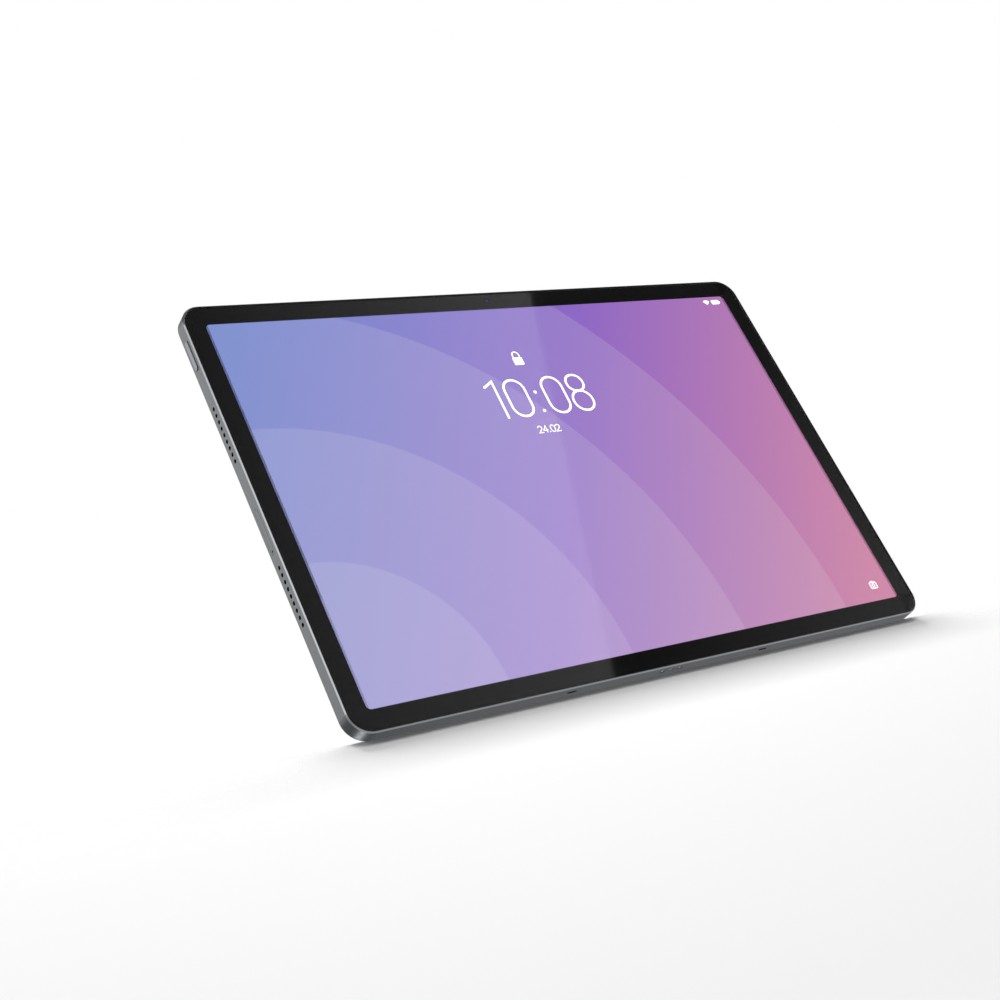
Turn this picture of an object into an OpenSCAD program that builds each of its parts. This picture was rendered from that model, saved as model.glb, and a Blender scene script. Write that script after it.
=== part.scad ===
// Tablet computer, 12.7 inch, standing upright on its long bottom edge.
// +X is the viewer's right, the screen faces -Y, +Z is the top of the screen.
// Origin: middle of the bottom long edge, at half the body's thickness.

/* [Body] */
// Width of the aluminium body
body_w = 291.8; // [288:0.1:296]
// Height of the aluminium body
body_h = 189.1; // [187:0.1:192]
// Thickness of the body, screen face to back face
body_t = 6.9; // [6.8:0.05:7.2]
// Radius of the body's four corners
body_r = 9; // [8:0.5:11]
// Thickness of the side walls
side_wall = 2.3; // [2.2:0.05:2.4]
// Thickness of the back wall
back_wall = 0.8; // [0.7:0.05:0.85]
// Polished chamfer around the front rim
front_chamfer = 0.45; // [0.3:0.05:0.5]
// Rounded chamfer around the back
back_chamfer = 0.7; // [0.4:0.05:0.8]

/* [Screen] */
// Width of the lit picture area
active_w = 273.56; // [272:0.01:274]
// Height of the lit picture area
active_h = 170.97; // [169:0.01:172]
// Radius of the picture area's corners
active_r = 2; // [1:0.5:3]
// Thickness of the cover glass
glass_t = 0.55; // [0.5:0.01:0.6]
// Gap between the cover glass and the metal rim
glass_gap = 0.1; // [0.05:0.01:0.15]
// Width of the metal rim beside the glass
rim_w = 0.65; // [0.6:0.05:0.7]
// Diameter of the clear window over the front camera
front_cam_d = 2.6; // [2:0.1:3]

/* [Camera plate] */
// Width of the raised camera plate
plate_w = 46.3; // [44:0.1:48]
// Height of the raised camera plate
plate_h = 31.3; // [30:0.1:33]
// How far the plate stands off the back
plate_rise = 1.3; // [1:0.05:1.5]
// Distance of the plate from the top and side edges
plate_margin = 7.3; // [7:0.1:8]
// Distance between the flash and the lens centres
lens_pitch = 19.2; // [18.5:0.1:20]
// Outside diameter of the lens ring
lens_ring_d = 14.3; // [13.8:0.1:14.6]
// How far the lens ring stands off the plate
lens_ring_rise = 1.25; // [1:0.05:1.4]
// Diameter of the flash window
flash_d = 14; // [12:0.1:14.2]

/* [Sides] */
// Diameter of one speaker hole
hole_d = 1.7; // [1.2:0.1:2]
// Distance between speaker holes
hole_pitch = 3; // [2.8:0.1:3.1]
// Holes in one speaker group
hole_count = 9; // [7:1:9]
// Distance of the innermost hole from the body's middle
hole_start = 23.6; // [23:0.1:24]
// Length of the power button
power_len = 13.8; // [12:0.1:15]
// Width of the power and volume buttons
key_w = 2.5; // [2:0.1:2.6]
// How far the buttons stand off the body
key_rise = 0.3; // [0.2:0.05:0.4]
// Clearance around each button
key_gap = 0.18; // [0.1:0.01:0.25]
// Length of the volume rocker
volume_len = 24; // [20:0.5:26]
// Length of the card tray's outer face
tray_len = 19.4; // [18:0.1:20]
// Width of the card tray's outer face
tray_w = 2.4; // [2.2:0.1:2.6]
// Depth of the card tray from its outer face
tray_depth = 26; // [24:0.5:27]
// Width of the USB-C opening
usb_w = 9.1; // [9:0.05:9.4]
// Height of the USB-C opening
usb_h = 3.3; // [3.2:0.05:3.5]

/* [Dock edge] */
// Distance of each dock slot from the middle
dock_slot_x = 49.7; // [45:0.1:55]
// Length of a dock slot
dock_slot_len = 4.6; // [4:0.1:5]
// Width of a dock slot
dock_slot_w = 1.3; // [1:0.1:1.6]
// Depth of a dock slot
dock_slot_depth = 1.8; // [1:0.1:1.9]
// Distance between dock contacts
contact_pitch = 4.5; // [4:0.1:5]
// Diameter of a dock contact
contact_d = 1.6; // [1.4:0.1:1.8]

/* [Inside] */
// Width of one battery cell
cell_w = 95; // [90:0.5:95]
// Height of the battery cells
cell_h = 118; // [100:1:118]
// Thickness of the battery cells
cell_t = 2.5; // [2:0.1:2.5]
// Height of a speaker box
speaker_h = 30; // [28:0.5:30]
// Depth of a speaker box into the body
speaker_d = 18; // [15.5:0.5:18]
// Number of magnets that hold a pen on the back
pen_magnet_count = 4; // [2:1:5]

/* [Hidden] */
$fn = 48;
eps = 0.01;

hw = body_w / 2;
ht = body_t / 2;
mid_z = body_h / 2;
in_hw = hw - side_wall;
in_z0 = side_wall;
in_z1 = body_h - side_wall;
in_r = body_r - side_wall;
back_y = ht - back_wall;

// Depths of the layers behind the glass, front to back
glass_y0 = -ht + 0.05;
glass_y1 = glass_y0 + glass_t;
glass_hw = hw - rim_w - glass_gap;
glass_z0 = rim_w + glass_gap;
glass_z1 = body_h - rim_w - glass_gap;
glass_r = body_r - rim_w - glass_gap;
ledge_y = glass_y1 + 0.15;
print_y = glass_y1 + 0.03;
panel_y0 = ledge_y;
panel_y1 = panel_y0 + 1.1;
films_y1 = panel_y1 + 0.25;
guide_y1 = films_y1 + 0.5;
mid_y0 = guide_y1 + 0.05;
mid_y1 = mid_y0 + 0.6;
inner_y = mid_y1 + 0.1;

// Outlines of the display module
panel_hw = active_w / 2 + 1.5;
panel_z0 = mid_z - active_h / 2 - 1.8;
panel_z1 = mid_z + active_h / 2 + 1.8;

// Front camera, camera plate, lens and flash
front_cam_z = mid_z + 90.4;
plate_x = -(hw - plate_margin - plate_w / 2);
plate_z = body_h - plate_margin - plate_h / 2;
plate_r = 3.6;
plate_y = ht + plate_rise;
plate_seat = 0.3;
lens_x = plate_x - lens_pitch / 2;
flash_x = plate_x + lens_pitch / 2;
ring_y = plate_y + lens_ring_rise;
lens_glass_d = lens_ring_d - 2.8;
lens_glass_t = 0.4;
lens_glass_y = ring_y - 0.25 - lens_glass_t;
camera_hole_d = 9.4;
barrel_d = 6.4;
barrel_travel = 0.3;
led_hole_d = 5;

// Side features
power_z = mid_z + 73.1;
tray_z = mid_z - 7.9;
pinhole_z = tray_z - tray_len / 2 + 1.1;
pinhole_d = 0.9;
volume_x = -115;
rocker_z = in_z1 - 0.1;
rocker_pivot_z = rocker_z - 1.1;
switch_z = rocker_z - 1.15;
mic_x = [-62, 62];
group_mid = hole_start + (hole_count - 1) * hole_pitch / 2;
flange = 0.8;
tray_end = -hw + tray_depth - 1.6;
lever_t = 1.2;
lever_x = tray_end + 1.1 + lever_t / 2;
lever_z = tray_z - 1;
rod_z0 = tray_z - 9.5;
rod_z1 = tray_z - 8.35;
reader_x1 = lever_x + lever_t / 2 + 2.5;
usb_x0 = panel_hw + 0.25;
usb_x1 = hw - 0.4;
usb_shell_w = usb_w - 0.16;
usb_shell_h = usb_h - 0.14;

// Boards and screws
board_y0 = 1.5;
board_y1 = 2.2;
board_x0 = -119;
board_x1 = -77;
boss_d = 3.6;
screw_d = 1.4;
frame_bosses = [[-134, 16], [134, 16], [-90, 16], [90, 16], [-80, 178], [80, 178],
                [-134, 178], [134, 178], [0, 176]];
board_bosses = [[-115, 36], [-81, 36], [-115, 144], [-81, 144]];
usb_bosses = [[125.5, 80.5], [133, 108.5]];
cell_z0 = 26;
cell_y0 = inner_y + 0.05;
cell_xs = [-73.5, 24];

// Slab of a flat X-Z outline between two depths
module slab(y0, y1) {
    translate([0, y1, 0]) rotate([90, 0, 0]) linear_extrude(y1 - y0) children();
}

// Rounded rectangle between two corners
module round_rect(x0, z0, x1, z1, r) {
    translate([x0 + r, z0]) square([x1 - x0 - 2 * r, z1 - z0]);
    translate([x0, z0 + r]) square([x1 - x0, z1 - z0 - 2 * r]);
    for (x = [x0 + r, x1 - r], z = [z0 + r, z1 - r]) translate([x, z]) circle(r);
}

// Box between two corners
module block(x0, y0, z0, x1, y1, z1) {
    translate([x0, y0, z0]) cube([x1 - x0, y1 - y0, z1 - z0]);
}

// Plate with rounded corners and a shaped rim; prof lists [inset, depth] from front to back
module rimmed_plate(x0, x1, z0, z1, r, prof) {
    back = [for (i = [len(prof) - 1 : -1 : 0]) prof[i]];
    first = prof[0][1];
    last = prof[len(prof) - 1][1];
    for (x = [x0 + r, x1 - r], z = [z0 + r, z1 - r])
        translate([x, 0, z]) rotate([-90, 0, 0]) rotate_extrude()
            polygon(concat([[0, first]], [for (p = prof) [r - p[0], p[1]]], [[0, last]]));
    translate([x0 + r, 0, 0]) rotate([90, 0, 90]) linear_extrude(x1 - x0 - 2 * r)
        polygon(concat([for (p = prof) [p[1], z0 + p[0]]], [for (p = back) [p[1], z1 - p[0]]]));
    translate([0, 0, z0 + r]) linear_extrude(z1 - z0 - 2 * r)
        polygon(concat([for (p = prof) [x0 + p[0], p[1]]], [for (p = back) [x1 - p[0], p[1]]]));
}

// Rod or hole along X, Y or Z
module rod_x(x0, x1, y, z, d) {
    translate([x0, y, z]) rotate([0, 90, 0]) cylinder(h = x1 - x0, d = d);
}
module rod_y(x, y0, y1, z, d) {
    translate([x, y1, z]) rotate([90, 0, 0]) cylinder(h = y1 - y0, d = d);
}
module rod_z(x, y, z0, z1, d) {
    translate([x, y, z0]) cylinder(h = z1 - z0, d = d);
}

// Bar with round ends that runs through a side wall; len lies along Z
module side_bar(x0, x1, z, len, w) {
    block(x0, -w / 2, z - len / 2 + w / 2, x1, w / 2, z + len / 2 - w / 2);
    for (s = [-1, 1]) rod_x(x0, x1, 0, z + s * (len - w) / 2, w);
}

// Bar with round ends that runs through a long edge; len lies along X
module edge_bar(x, z0, z1, len, w) {
    block(x - len / 2 + w / 2, -w / 2, z0, x + len / 2 - w / 2, w / 2, z1);
    for (s = [-1, 1]) rod_z(x + s * (len - w) / 2, 0, z0, z1, w);
}

// Ring along Y
module ring_y_axis(x, y0, y1, z, d_out, d_in) {
    difference() {
        rod_y(x, y0, y1, z, d_out);
        rod_y(x, y0 - 1, y1 + 1, z, d_in);
    }
}

module speaker_holes() {
    for (sx = [-1, 1], sz = [-1, 1], i = [0 : hole_count - 1]) {
        x = sx > 0 ? in_hw - eps : -hw - eps;
        rod_x(x, x + side_wall + 2 * eps, 0, mid_z + sz * (hole_start + i * hole_pitch), hole_d);
    }
}

module rear_housing() {
    outer = [
        [front_chamfer, -ht], [0, -ht + front_chamfer], [0, ht - back_chamfer],
        [0.13 * back_chamfer, ht - 0.5 * back_chamfer],
        [0.5 * back_chamfer, ht - 0.13 * back_chamfer], [back_chamfer, ht]
    ];
    color("#8b8e90") difference() {
        union() {
            difference() {
                rimmed_plate(-hw, hw, 0, body_h, body_r, outer);
                slab(-ht - eps, ledge_y)
                    round_rect(-hw + rim_w, rim_w, hw - rim_w, body_h - rim_w, body_r - rim_w);
                slab(ledge_y - eps, back_y) round_rect(-in_hw, in_z0, in_hw, in_z1, in_r);
            }
            for (p = frame_bosses) rod_y(p[0], mid_y1, back_y + eps, p[1], boss_d);
            for (p = board_bosses) rod_y(p[0], board_y1, back_y + eps, p[1], boss_d);
            for (p = usb_bosses) rod_y(p[0], board_y1, back_y + eps, p[1], boss_d);
        }
        for (p = concat(frame_bosses, board_bosses, usb_bosses))
            rod_y(p[0], mid_y1 - eps, back_y + 0.4, p[1], screw_d);
        speaker_holes();
        side_bar(-hw - eps, -in_hw + eps, power_z, power_len + 2 * key_gap, key_w + 2 * key_gap);
        side_bar(-hw - eps, -in_hw + eps, tray_z, tray_len + 0.2, tray_w + 0.2);
        side_bar(in_hw - eps, hw + eps, mid_z, usb_w, usb_h);
        edge_bar(volume_x, in_z1 - eps, body_h + eps, volume_len + 2 * key_gap, key_w + 2 * key_gap);
        for (s = [-1, 1]) edge_bar(s * dock_slot_x, -eps, dock_slot_depth, dock_slot_len, dock_slot_w);
        for (i = [-1 : 1]) rod_z(i * contact_pitch, 0, -eps, in_z0 + eps, contact_d + 0.8);
        for (x = mic_x) rod_z(x, 0, in_z1 - eps, body_h + eps, 0.9);
        slab(ht - plate_seat, ht + eps)
            round_rect(plate_x - plate_w / 2, plate_z - plate_h / 2,
                       plate_x + plate_w / 2, plate_z + plate_h / 2, plate_r);
        rod_y(lens_x, back_y - eps, ht, plate_z, camera_hole_d);
        rod_y(flash_x, back_y - eps, ht, plate_z, led_hole_d);
    }
}

module cover_glass() {
    edge = 0.15;
    color("#20222c", 0.45) rimmed_plate(-glass_hw, glass_hw, glass_z0, glass_z1, glass_r,
        [[edge, glass_y0], [0, glass_y0 + edge], [0, glass_y1]]);
}

module glass_border_print() {
    inset = 0.3;
    color("#0d0d0f") slab(glass_y1, print_y) difference() {
        round_rect(-glass_hw + inset, glass_z0 + inset, glass_hw - inset, glass_z1 - inset,
                   glass_r - inset);
        round_rect(-active_w / 2, mid_z - active_h / 2, active_w / 2, mid_z + active_h / 2, active_r);
        translate([0, front_cam_z]) circle(d = front_cam_d);
    }
}

module rim_adhesive() {
    tape = 1.1;
    x = in_hw + 0.1;
    color("#26262a") slab(print_y, ledge_y) difference() {
        round_rect(-x - tape, in_z0 - 0.1 - tape, x + tape, in_z1 + 0.1 + tape, in_r + 0.1 + tape);
        round_rect(-x, in_z0 - 0.1, x, in_z1 + 0.1, in_r + 0.1);
    }
}

module optical_adhesive() {
    color("#dfe6ea", 0.5) slab(print_y, panel_y0)
        round_rect(-panel_hw + 0.5, panel_z0 + 0.5, panel_hw - 0.5, panel_z1 - 0.5, active_r);
}

module display_panel() {
    color("#8a5fd0") slab(panel_y0, panel_y1)
        round_rect(-panel_hw, panel_z0, panel_hw, panel_z1, 1);
}

module backlight_films() {
    color("#f2f2ee") slab(panel_y1, films_y1)
        round_rect(-panel_hw + 0.6, panel_z0 + 0.6, panel_hw - 0.6, panel_z1 - 0.6, 1);
}

module light_guide_plate() {
    color("#e4ecee") slab(films_y1, guide_y1)
        round_rect(-panel_hw + 1, panel_z0 + 2.6, panel_hw - 1, panel_z1 - 1, 1);
}

module backlight_led_bar() {
    count = 36;
    pitch = (2 * panel_hw - 14) / (count - 1);
    color("#f4e9c0") {
        block(-panel_hw + 2, guide_y1 - 0.14, panel_z0 + 0.6, panel_hw - 2, guide_y1, panel_z0 + 2.4);
        for (i = [0 : count - 1]) {
            x = -panel_hw + 7 + i * pitch;
            block(x - 1.5, films_y1 + 0.02, panel_z0 + 1.5, x + 1.5, guide_y1 - 0.14 + eps,
                  panel_z0 + 2.4);
        }
    }
}

module display_driver_board() {
    color("#1f5a3a") {
        block(-70, inner_y + 0.15, 8.6, 70, inner_y + 0.75, 19);
        for (x = [-52, 8, 46]) block(x, inner_y + 0.75 - eps, 10.6, x + 9, inner_y + 1.6, 17);
    }
}

module display_flex() {
    film = 0.12;
    low = panel_z0 - 1.6;
    tail = inner_y + 0.15;
    color("#c78a2c") {
        for (x = [-48, -12, 24]) {
            block(x, panel_y1 - film, low, x + 24, panel_y1, panel_z0);
            block(x, panel_y1 - film, low - film, x + 24, tail, low);
            block(x, tail - film, low - film, x + 24, tail, 11);
        }
        block(-84, inner_y + 0.75, 13, -66, inner_y + 0.75 + film, 17);
        block(-84, inner_y + 0.75, 13, -80, inner_y + 0.75 + film, 40);
    }
}

module mid_frame() {
    x = panel_hw - 0.8;
    color("#a9abad") difference() {
        slab(mid_y0, mid_y1) difference() {
            round_rect(-x, panel_z0 + 1.6, x, panel_z1 - 0.3, 3);
            translate([-x - 1, tray_z - 13]) square([x - 115, 26]);
        }
        for (p = frame_bosses) {
            rod_y(p[0], mid_y0 - eps, mid_y1 + eps, p[1], screw_d + 0.2);
            translate([p[0], mid_y0 - eps, p[1]]) rotate([-90, 0, 0])
                cylinder(h = 0.5, d1 = 3.1, d2 = screw_d + 0.2);
        }
    }
}

module battery_cell(i) {
    color("#2b2c30") slab(cell_y0, cell_y0 + cell_t)
        round_rect(cell_xs[i], cell_z0, cell_xs[i] + cell_w, cell_z0 + cell_h, 2);
}

module battery_cell_left() battery_cell(0);
module battery_cell_right() battery_cell(1);

// Protection board with its soldered flex tail to the main board
module battery_protection_board() {
    z = cell_z0 + cell_h + 0.3;
    color("#174a34") {
        block(-60, 0.6, z, 100, 1.2, z + 4);
        for (x = [-50, -20, 40, 70]) block(x, 1.2 - eps, z + 0.6, x + 6, 2, z + 3.4);
    }
    color("#c98f35") {
        block(-76, 0.4, z + 0.6, -58, 0.6 + eps, z + 3.4);
        block(-84, 0.4, z - 9, -76 + eps, 0.6, z + 3.4);
    }
}

module main_board() {
    color("#12523a") slab(board_y0, board_y1) difference() {
        union() {
            round_rect(board_x0, 32, board_x1, 148, 1.5);
            translate([-140.5, tray_z - 12]) square([board_x0 + 142, 24]);
        }
        for (p = board_bosses) translate(p) circle(d = screw_d + 0.2);
    }
}

module processor() {
    color("#2d2f33") {
        block(-106, board_y0 - 0.95, 98, -91, board_y0 - 0.25, 113);
        block(-107, board_y0 - 0.25 - eps, 97, -90, board_y0, 114);
    }
}

module memory_chips() {
    color("#1c1d20") {
        block(-105, board_y0 - 0.9, 118, -93, board_y0, 132);
        block(-104, board_y0 - 0.8, 81, -92.5, board_y0, 94);
    }
}

module power_controller() {
    color("#232427") {
        block(-108, board_y0 - 0.7, 58, -101, board_y0, 65);
        for (i = [0 : 3]) block(-97 + 4 * i, board_y0 - 0.9, 58, -94.6 + 4 * i, board_y0, 61);
        for (i = [0 : 2]) block(-97 + 5 * i, board_y0 - 0.6, 64, -94 + 5 * i, board_y0, 67);
    }
}

module shield_can() {
    wall = 0.2;
    top = inner_y + 0.05;
    color("#b9bcc0") difference() {
        block(-110, top, 76, -86, board_y0, 136);
        block(-110 + wall, top + wall, 76 + wall, -86 - wall, board_y0 + eps, 136 - wall);
    }
}

module thermal_pad() {
    color("#7fa0b8") block(-105, inner_y + 0.25, 99, -92, board_y0 - 0.95, 112);
}

module wireless_module() {
    color("#c4c6c8") {
        block(-108, board_y0 - 1.2, 40, -90, board_y0, 53);
        block(-88, board_y0 - 0.6, 42, -85.5, board_y0, 44.5);
        block(-88, board_y0 - 0.6, 48, -85.5, board_y0, 50.5);
    }
}

module graphite_sheet() {
    color("#3a3b3e") slab(back_y - 0.08, back_y) round_rect(-112, 46, 118, 140, 2);
}

// Sealed speaker box with its driver cone facing the back wall
module speaker_box(sx, sz) {
    face = in_hw - 0.55;
    x0 = sx > 0 ? face - speaker_d : -face;
    z = mid_z + sz * group_mid;
    y1 = back_y - 0.15;
    color("#202124") difference() {
        slab(inner_y, y1) round_rect(x0, z - speaker_h / 2, x0 + speaker_d, z + speaker_h / 2, 1.2);
        rod_y(x0 + speaker_d / 2, y1 - 0.5, y1 + eps, z, 15);
        block(sx > 0 ? face - 3 : -face - eps, inner_y + 0.5, z - 12,
              sx > 0 ? face + eps : -face + 3, inner_y + 1.3, z + 12);
    }
    color("#4a4b50") ring_y_axis(x0 + speaker_d / 2, y1 - 0.5 - eps, y1 - 0.1, z, 14.4, 11);
}

module speaker_left_lower() speaker_box(-1, -1);
module speaker_left_upper() speaker_box(-1, 1);
module speaker_right_lower() speaker_box(1, -1);
module speaker_right_upper() speaker_box(1, 1);

module speaker_meshes() {
    color("#101113") for (sx = [-1, 1], sz = [-1, 1])
        side_bar(sx * (in_hw - 0.175) - 0.125, sx * (in_hw - 0.175) + 0.125,
                 mid_z + sz * group_mid, hole_pitch * (hole_count - 1) + 3, 2.5);
}

module usb_shell() {
    wall = 0.3;
    color("#b4b6b9") difference() {
        side_bar(usb_x0, usb_x1, mid_z, usb_shell_w, usb_shell_h);
        side_bar(usb_x0 + 0.5, usb_x1 + eps, mid_z, usb_shell_w - 2 * wall, usb_shell_h - 2 * wall);
    }
}

module usb_tongue() {
    color("#1b1c1e") block(usb_x0 + 0.5, -0.35, mid_z - 3.34, usb_x1 - 1, 0.35, mid_z + 3.34);
    color("#d9b765") for (side = [-1, 1], i = [0 : 11]) {
        z = mid_z + (i - 5.5) * 0.5;
        block(usb_x0 + 2.4, side * 0.37 - 0.025, z - 0.14, usb_x1 - 1.4, side * 0.37 + 0.025, z + 0.14);
    }
}

module usb_board() {
    color("#12523a") slab(board_y0, board_y1) difference() {
        round_rect(121, 77, in_hw - 0.5, 112, 1.2);
        for (p = usb_bosses) translate(p) circle(d = screw_d + 0.2);
        translate([usb_x0 - 0.2, mid_z - 5]) square([12, 10]);
    }
    color("#232427") for (z = [84, 99]) block(126, board_y0 - 0.8, z, 131, board_y0 + eps, z + 5);
}

// Flex cable from the main board, past the cells, to the USB board
module side_flex() {
    film = 0.15;
    y = back_y - 0.35;
    z = cell_z0 + cell_h + 6;
    color("#b9822b") {
        block(-100, y, z, 124.4, y + film, z + 5);
        block(-100, y, 143, -92, y + film, z + eps);
        block(119.7, y, 97, 124.4, y + film, z + eps);
    }
}

// Metal shell that guides the tray, reads the card and carries the lever's pin
module card_reader() {
    x0 = -in_hw + 0.3;
    back = 0.67;
    front = -0.63;
    inner_x1 = reader_x1 - 0.9;
    color("#b0b2b5") {
        difference() {
            block(x0, front - 0.15, tray_z - 10.8, reader_x1, back + 0.35, tray_z + 8.6);
            block(x0 - eps, front, tray_z - 8, inner_x1, back, tray_z + 8.1);
            block(x0 - eps, front, rod_z0 - 0.2, inner_x1, back, rod_z1 + 0.15);
            block(tray_end + 0.3, front, tray_z - 10.4, inner_x1, back, tray_z);
        }
        rod_y(lever_x, front - eps, back + eps, lever_z, 1.1);
    }
    color("#c9a24a") for (i = [0 : 7])
        block(tray_end - 1.8, 0.62, tray_z - 4 + 1.1 * i, tray_end + 0.2, back + eps,
              tray_z - 3.4 + 1.1 * i);
}

module card_tray() {
    x_face = -hw + 1.1;
    color("#7b7f82") difference() {
        union() {
            side_bar(-hw, x_face, tray_z, tray_len, tray_w);
            block(x_face - eps, -0.5, tray_z - 7.9, tray_end, 0.55, tray_z + 7.9);
        }
        rod_x(-hw - eps, x_face + eps, 0, pinhole_z, pinhole_d);
        block(tray_end - 17.6, -0.3, tray_z - 5.6, tray_end - 2, 0.6, tray_z + 5.6);
    }
}

module memory_card() {
    color("#1d1e21") {
        block(tray_end - 17.3, -0.3, tray_z - 5.5, tray_end - 2.3, 0.4, tray_z + 4.2);
        block(tray_end - 17.3, -0.3, tray_z + 4.2 - eps, tray_end - 9, 0.4, tray_z + 5.5);
    }
}

// Rod behind the pinhole; a pushed pin drives it into the body
module eject_rod() {
    color("#d0d2d4")
        block(-hw + 1.4, -0.4, rod_z0, lever_x - lever_t / 2 - 0.15, 0.4, rod_z1);
}

// Lever that turns the rod's push into a push on the tray's inner end
module eject_lever() {
    color("#8f9296") difference() {
        union() {
            block(lever_x - lever_t / 2, -0.35, rod_z0 + 0.1, lever_x + lever_t / 2, 0.35, tray_z + 5);
            rod_y(lever_x, -0.35, 0.35, lever_z, 2.2);
        }
        rod_y(lever_x, -1, 1, lever_z, 1.16);
    }
}

module power_button() {
    color("#9a9ba2") {
        rimmed_side_key(-hw - key_rise, -in_hw + 0.1, power_z, power_len, key_w);
        block(-in_hw + 0.1 - eps, -key_w / 2 - 0.4, power_z - power_len / 2 - flange,
              -in_hw + 0.5, key_w / 2 + 0.4, power_z + power_len / 2 + flange);
        rod_x(-in_hw + 0.5 - eps, -in_hw + 0.9, 0, power_z, 1.6);
    }
}

// Key cap that ends in a small chamfer on its outer face
module rimmed_side_key(x0, x1, z, len, w) {
    c = 0.15;
    side_bar(x0 + c, x1, z, len, w);
    side_bar(x0, x0 + c + eps, z, len - 2 * c, w - 2 * c);
}

module tact_switch(x, z) {
    block(x, -1.2, z - 1.8, x + 0.9, 1.2, z + 1.8);
}

module power_switch() {
    x = -in_hw + 1.35;
    color("#c9cbce") tact_switch(x, power_z);
    color("#b9822b") block(x + 0.9 - eps, -1.4, power_z - 6, x + 1.05, 1.4, power_z + 6);
}

// Volume key that tilts on a pin: one end raises the volume, the other lowers it
module volume_rocker() {
    c = 0.15;
    z1 = body_h + key_rise;
    half = volume_len / 2;
    color("#9a9ba2") difference() {
        union() {
            edge_bar(volume_x, rocker_z - 0.3, z1 - c, volume_len, key_w);
            edge_bar(volume_x, z1 - c - eps, z1, volume_len - 2 * c, key_w - 2 * c);
            block(volume_x - half - flange, -key_w / 2 - 0.3, rocker_z - 0.7,
                  volume_x + half + flange, key_w / 2 + 0.3, rocker_z - 0.25);
            block(volume_x - 1.2, -key_w / 2, rocker_z - 1.7, volume_x + 1.2, key_w / 2, rocker_z - 0.6);
            for (s = [-1, 1]) rod_z(volume_x + s * 7, 0, rocker_z - 1, rocker_z - 0.6, 1.4);
        }
        rod_y(volume_x, -key_w, key_w, rocker_pivot_z, 0.64);
    }
}

module rocker_pin() {
    color("#c5c7ca") rod_y(volume_x, -2, 2, rocker_pivot_z, 0.6);
}

module volume_switches() {
    color("#c9cbce") for (s = [-1, 1])
        block(volume_x + s * 7 - 1.8, -1.2, switch_z - 0.9, volume_x + s * 7 + 1.8, 1.2, switch_z);
    color("#b9822b")
        block(volume_x - 11, -1.3, switch_z - 1.05, volume_x + 11, 1.3, switch_z - 0.9 + eps);
}

// Steel brackets that carry the side keys' switches and the rocker's pin
module key_bracket() {
    x = -in_hw + 2.4;
    top = switch_z - 1.05;
    ear_top = rocker_z - 0.85;
    color("#8d9093") {
        block(x, -1.4, power_z - 7, x + 0.3, back_y, power_z + 7);
        difference() {
            union() {
                block(volume_x - 12, -1.5, top - 0.3, volume_x + 12, back_y, top);
                for (y = [-2, 1.4]) block(volume_x - 1.5, y, top - 0.3, volume_x + 1.5, y + 0.6, ear_top);
            }
            rod_y(volume_x, -2.5, 2.5, rocker_pivot_z, 0.6);
        }
    }
}

module front_camera_module() {
    z = front_cam_z;
    color("#1a1b1e") difference() {
        block(-3.2, glass_y1 + 0.25, z - 2.3, 3.2, 1.2, z + 1.7);
        rod_y(0, glass_y1, -1, z, 2.9);
    }
}

module front_camera_lens() {
    z = front_cam_z;
    color("#24304a") {
        rod_y(0, -2.1, -1, z, 2.8);
        ring_y_axis(0, glass_y1 + 0.3, -2.1 + eps, z, 2.8, 1.7);
    }
}

module light_sensor() {
    color("#2a2b2e") block(10, glass_y1 + 0.2, front_cam_z - 1, 12.4, -1.6, front_cam_z + 1);
}

module camera_plate() {
    c = 0.45;
    x0 = plate_x - plate_w / 2 + 0.05;
    x1 = plate_x + plate_w / 2 - 0.05;
    z0 = plate_z - plate_h / 2 + 0.05;
    z1 = plate_z + plate_h / 2 - 0.05;
    color("#9ea0a3") difference() {
        rimmed_plate(x0, x1, z0, z1, plate_r - 0.05,
                     [[0, ht - plate_seat], [0, plate_y - c], [c, plate_y]]);
        rod_y(lens_x, ht - plate_seat - eps, plate_y + eps, plate_z, lens_ring_d - 1.6);
        rod_y(flash_x, plate_y - 0.8, plate_y + eps, plate_z, flash_d + 0.6);
        rod_y(flash_x, ht - plate_seat - eps, plate_y, plate_z, led_hole_d);
    }
}

module flash_ring() {
    color("#d3d5d8") ring_y_axis(flash_x, plate_y - 0.75, plate_y + 0.05, plate_z,
                                 flash_d + 0.56, flash_d + 0.04);
}

module flash_window() {
    color("#c9ccd2") difference() {
        rod_y(flash_x, plate_y - 0.75, plate_y - 0.02, plate_z, flash_d);
        rod_y(flash_x, plate_y - 0.76, plate_y - 0.35, plate_z, 4);
    }
}

module flash_led() {
    foot = back_y - 0.05;
    color("#e9d98a") block(flash_x - 1.1, foot - eps, plate_z - 1.1, flash_x + 1.1, plate_y - 0.45,
                           plate_z + 1.1);
    color("#174a34") block(flash_x - 3, foot - 0.45, plate_z - 3, flash_x + 3, foot, plate_z + 3);
}

module lens_ring() {
    c = 0.3;
    r = lens_ring_d / 2;
    seat = lens_glass_d / 2 + 0.05;
    color("#b8babd") translate([lens_x, 0, plate_z]) rotate([-90, 0, 0]) rotate_extrude()
        polygon([
            [seat - 0.7, ht - plate_seat + 0.05], [r - 0.85, ht - plate_seat + 0.05],
            [r - 0.85, plate_y], [r, plate_y], [r, ring_y - c], [r - c, ring_y],
            [seat + 0.35, ring_y], [seat, ring_y - 0.25], [seat, lens_glass_y - 0.02],
            [seat - 0.7, lens_glass_y - 0.02]
        ]);
}

module lens_cover_glass() {
    color("#101217") rod_y(lens_x, lens_glass_y, lens_glass_y + lens_glass_t, plate_z, lens_glass_d);
}

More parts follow.
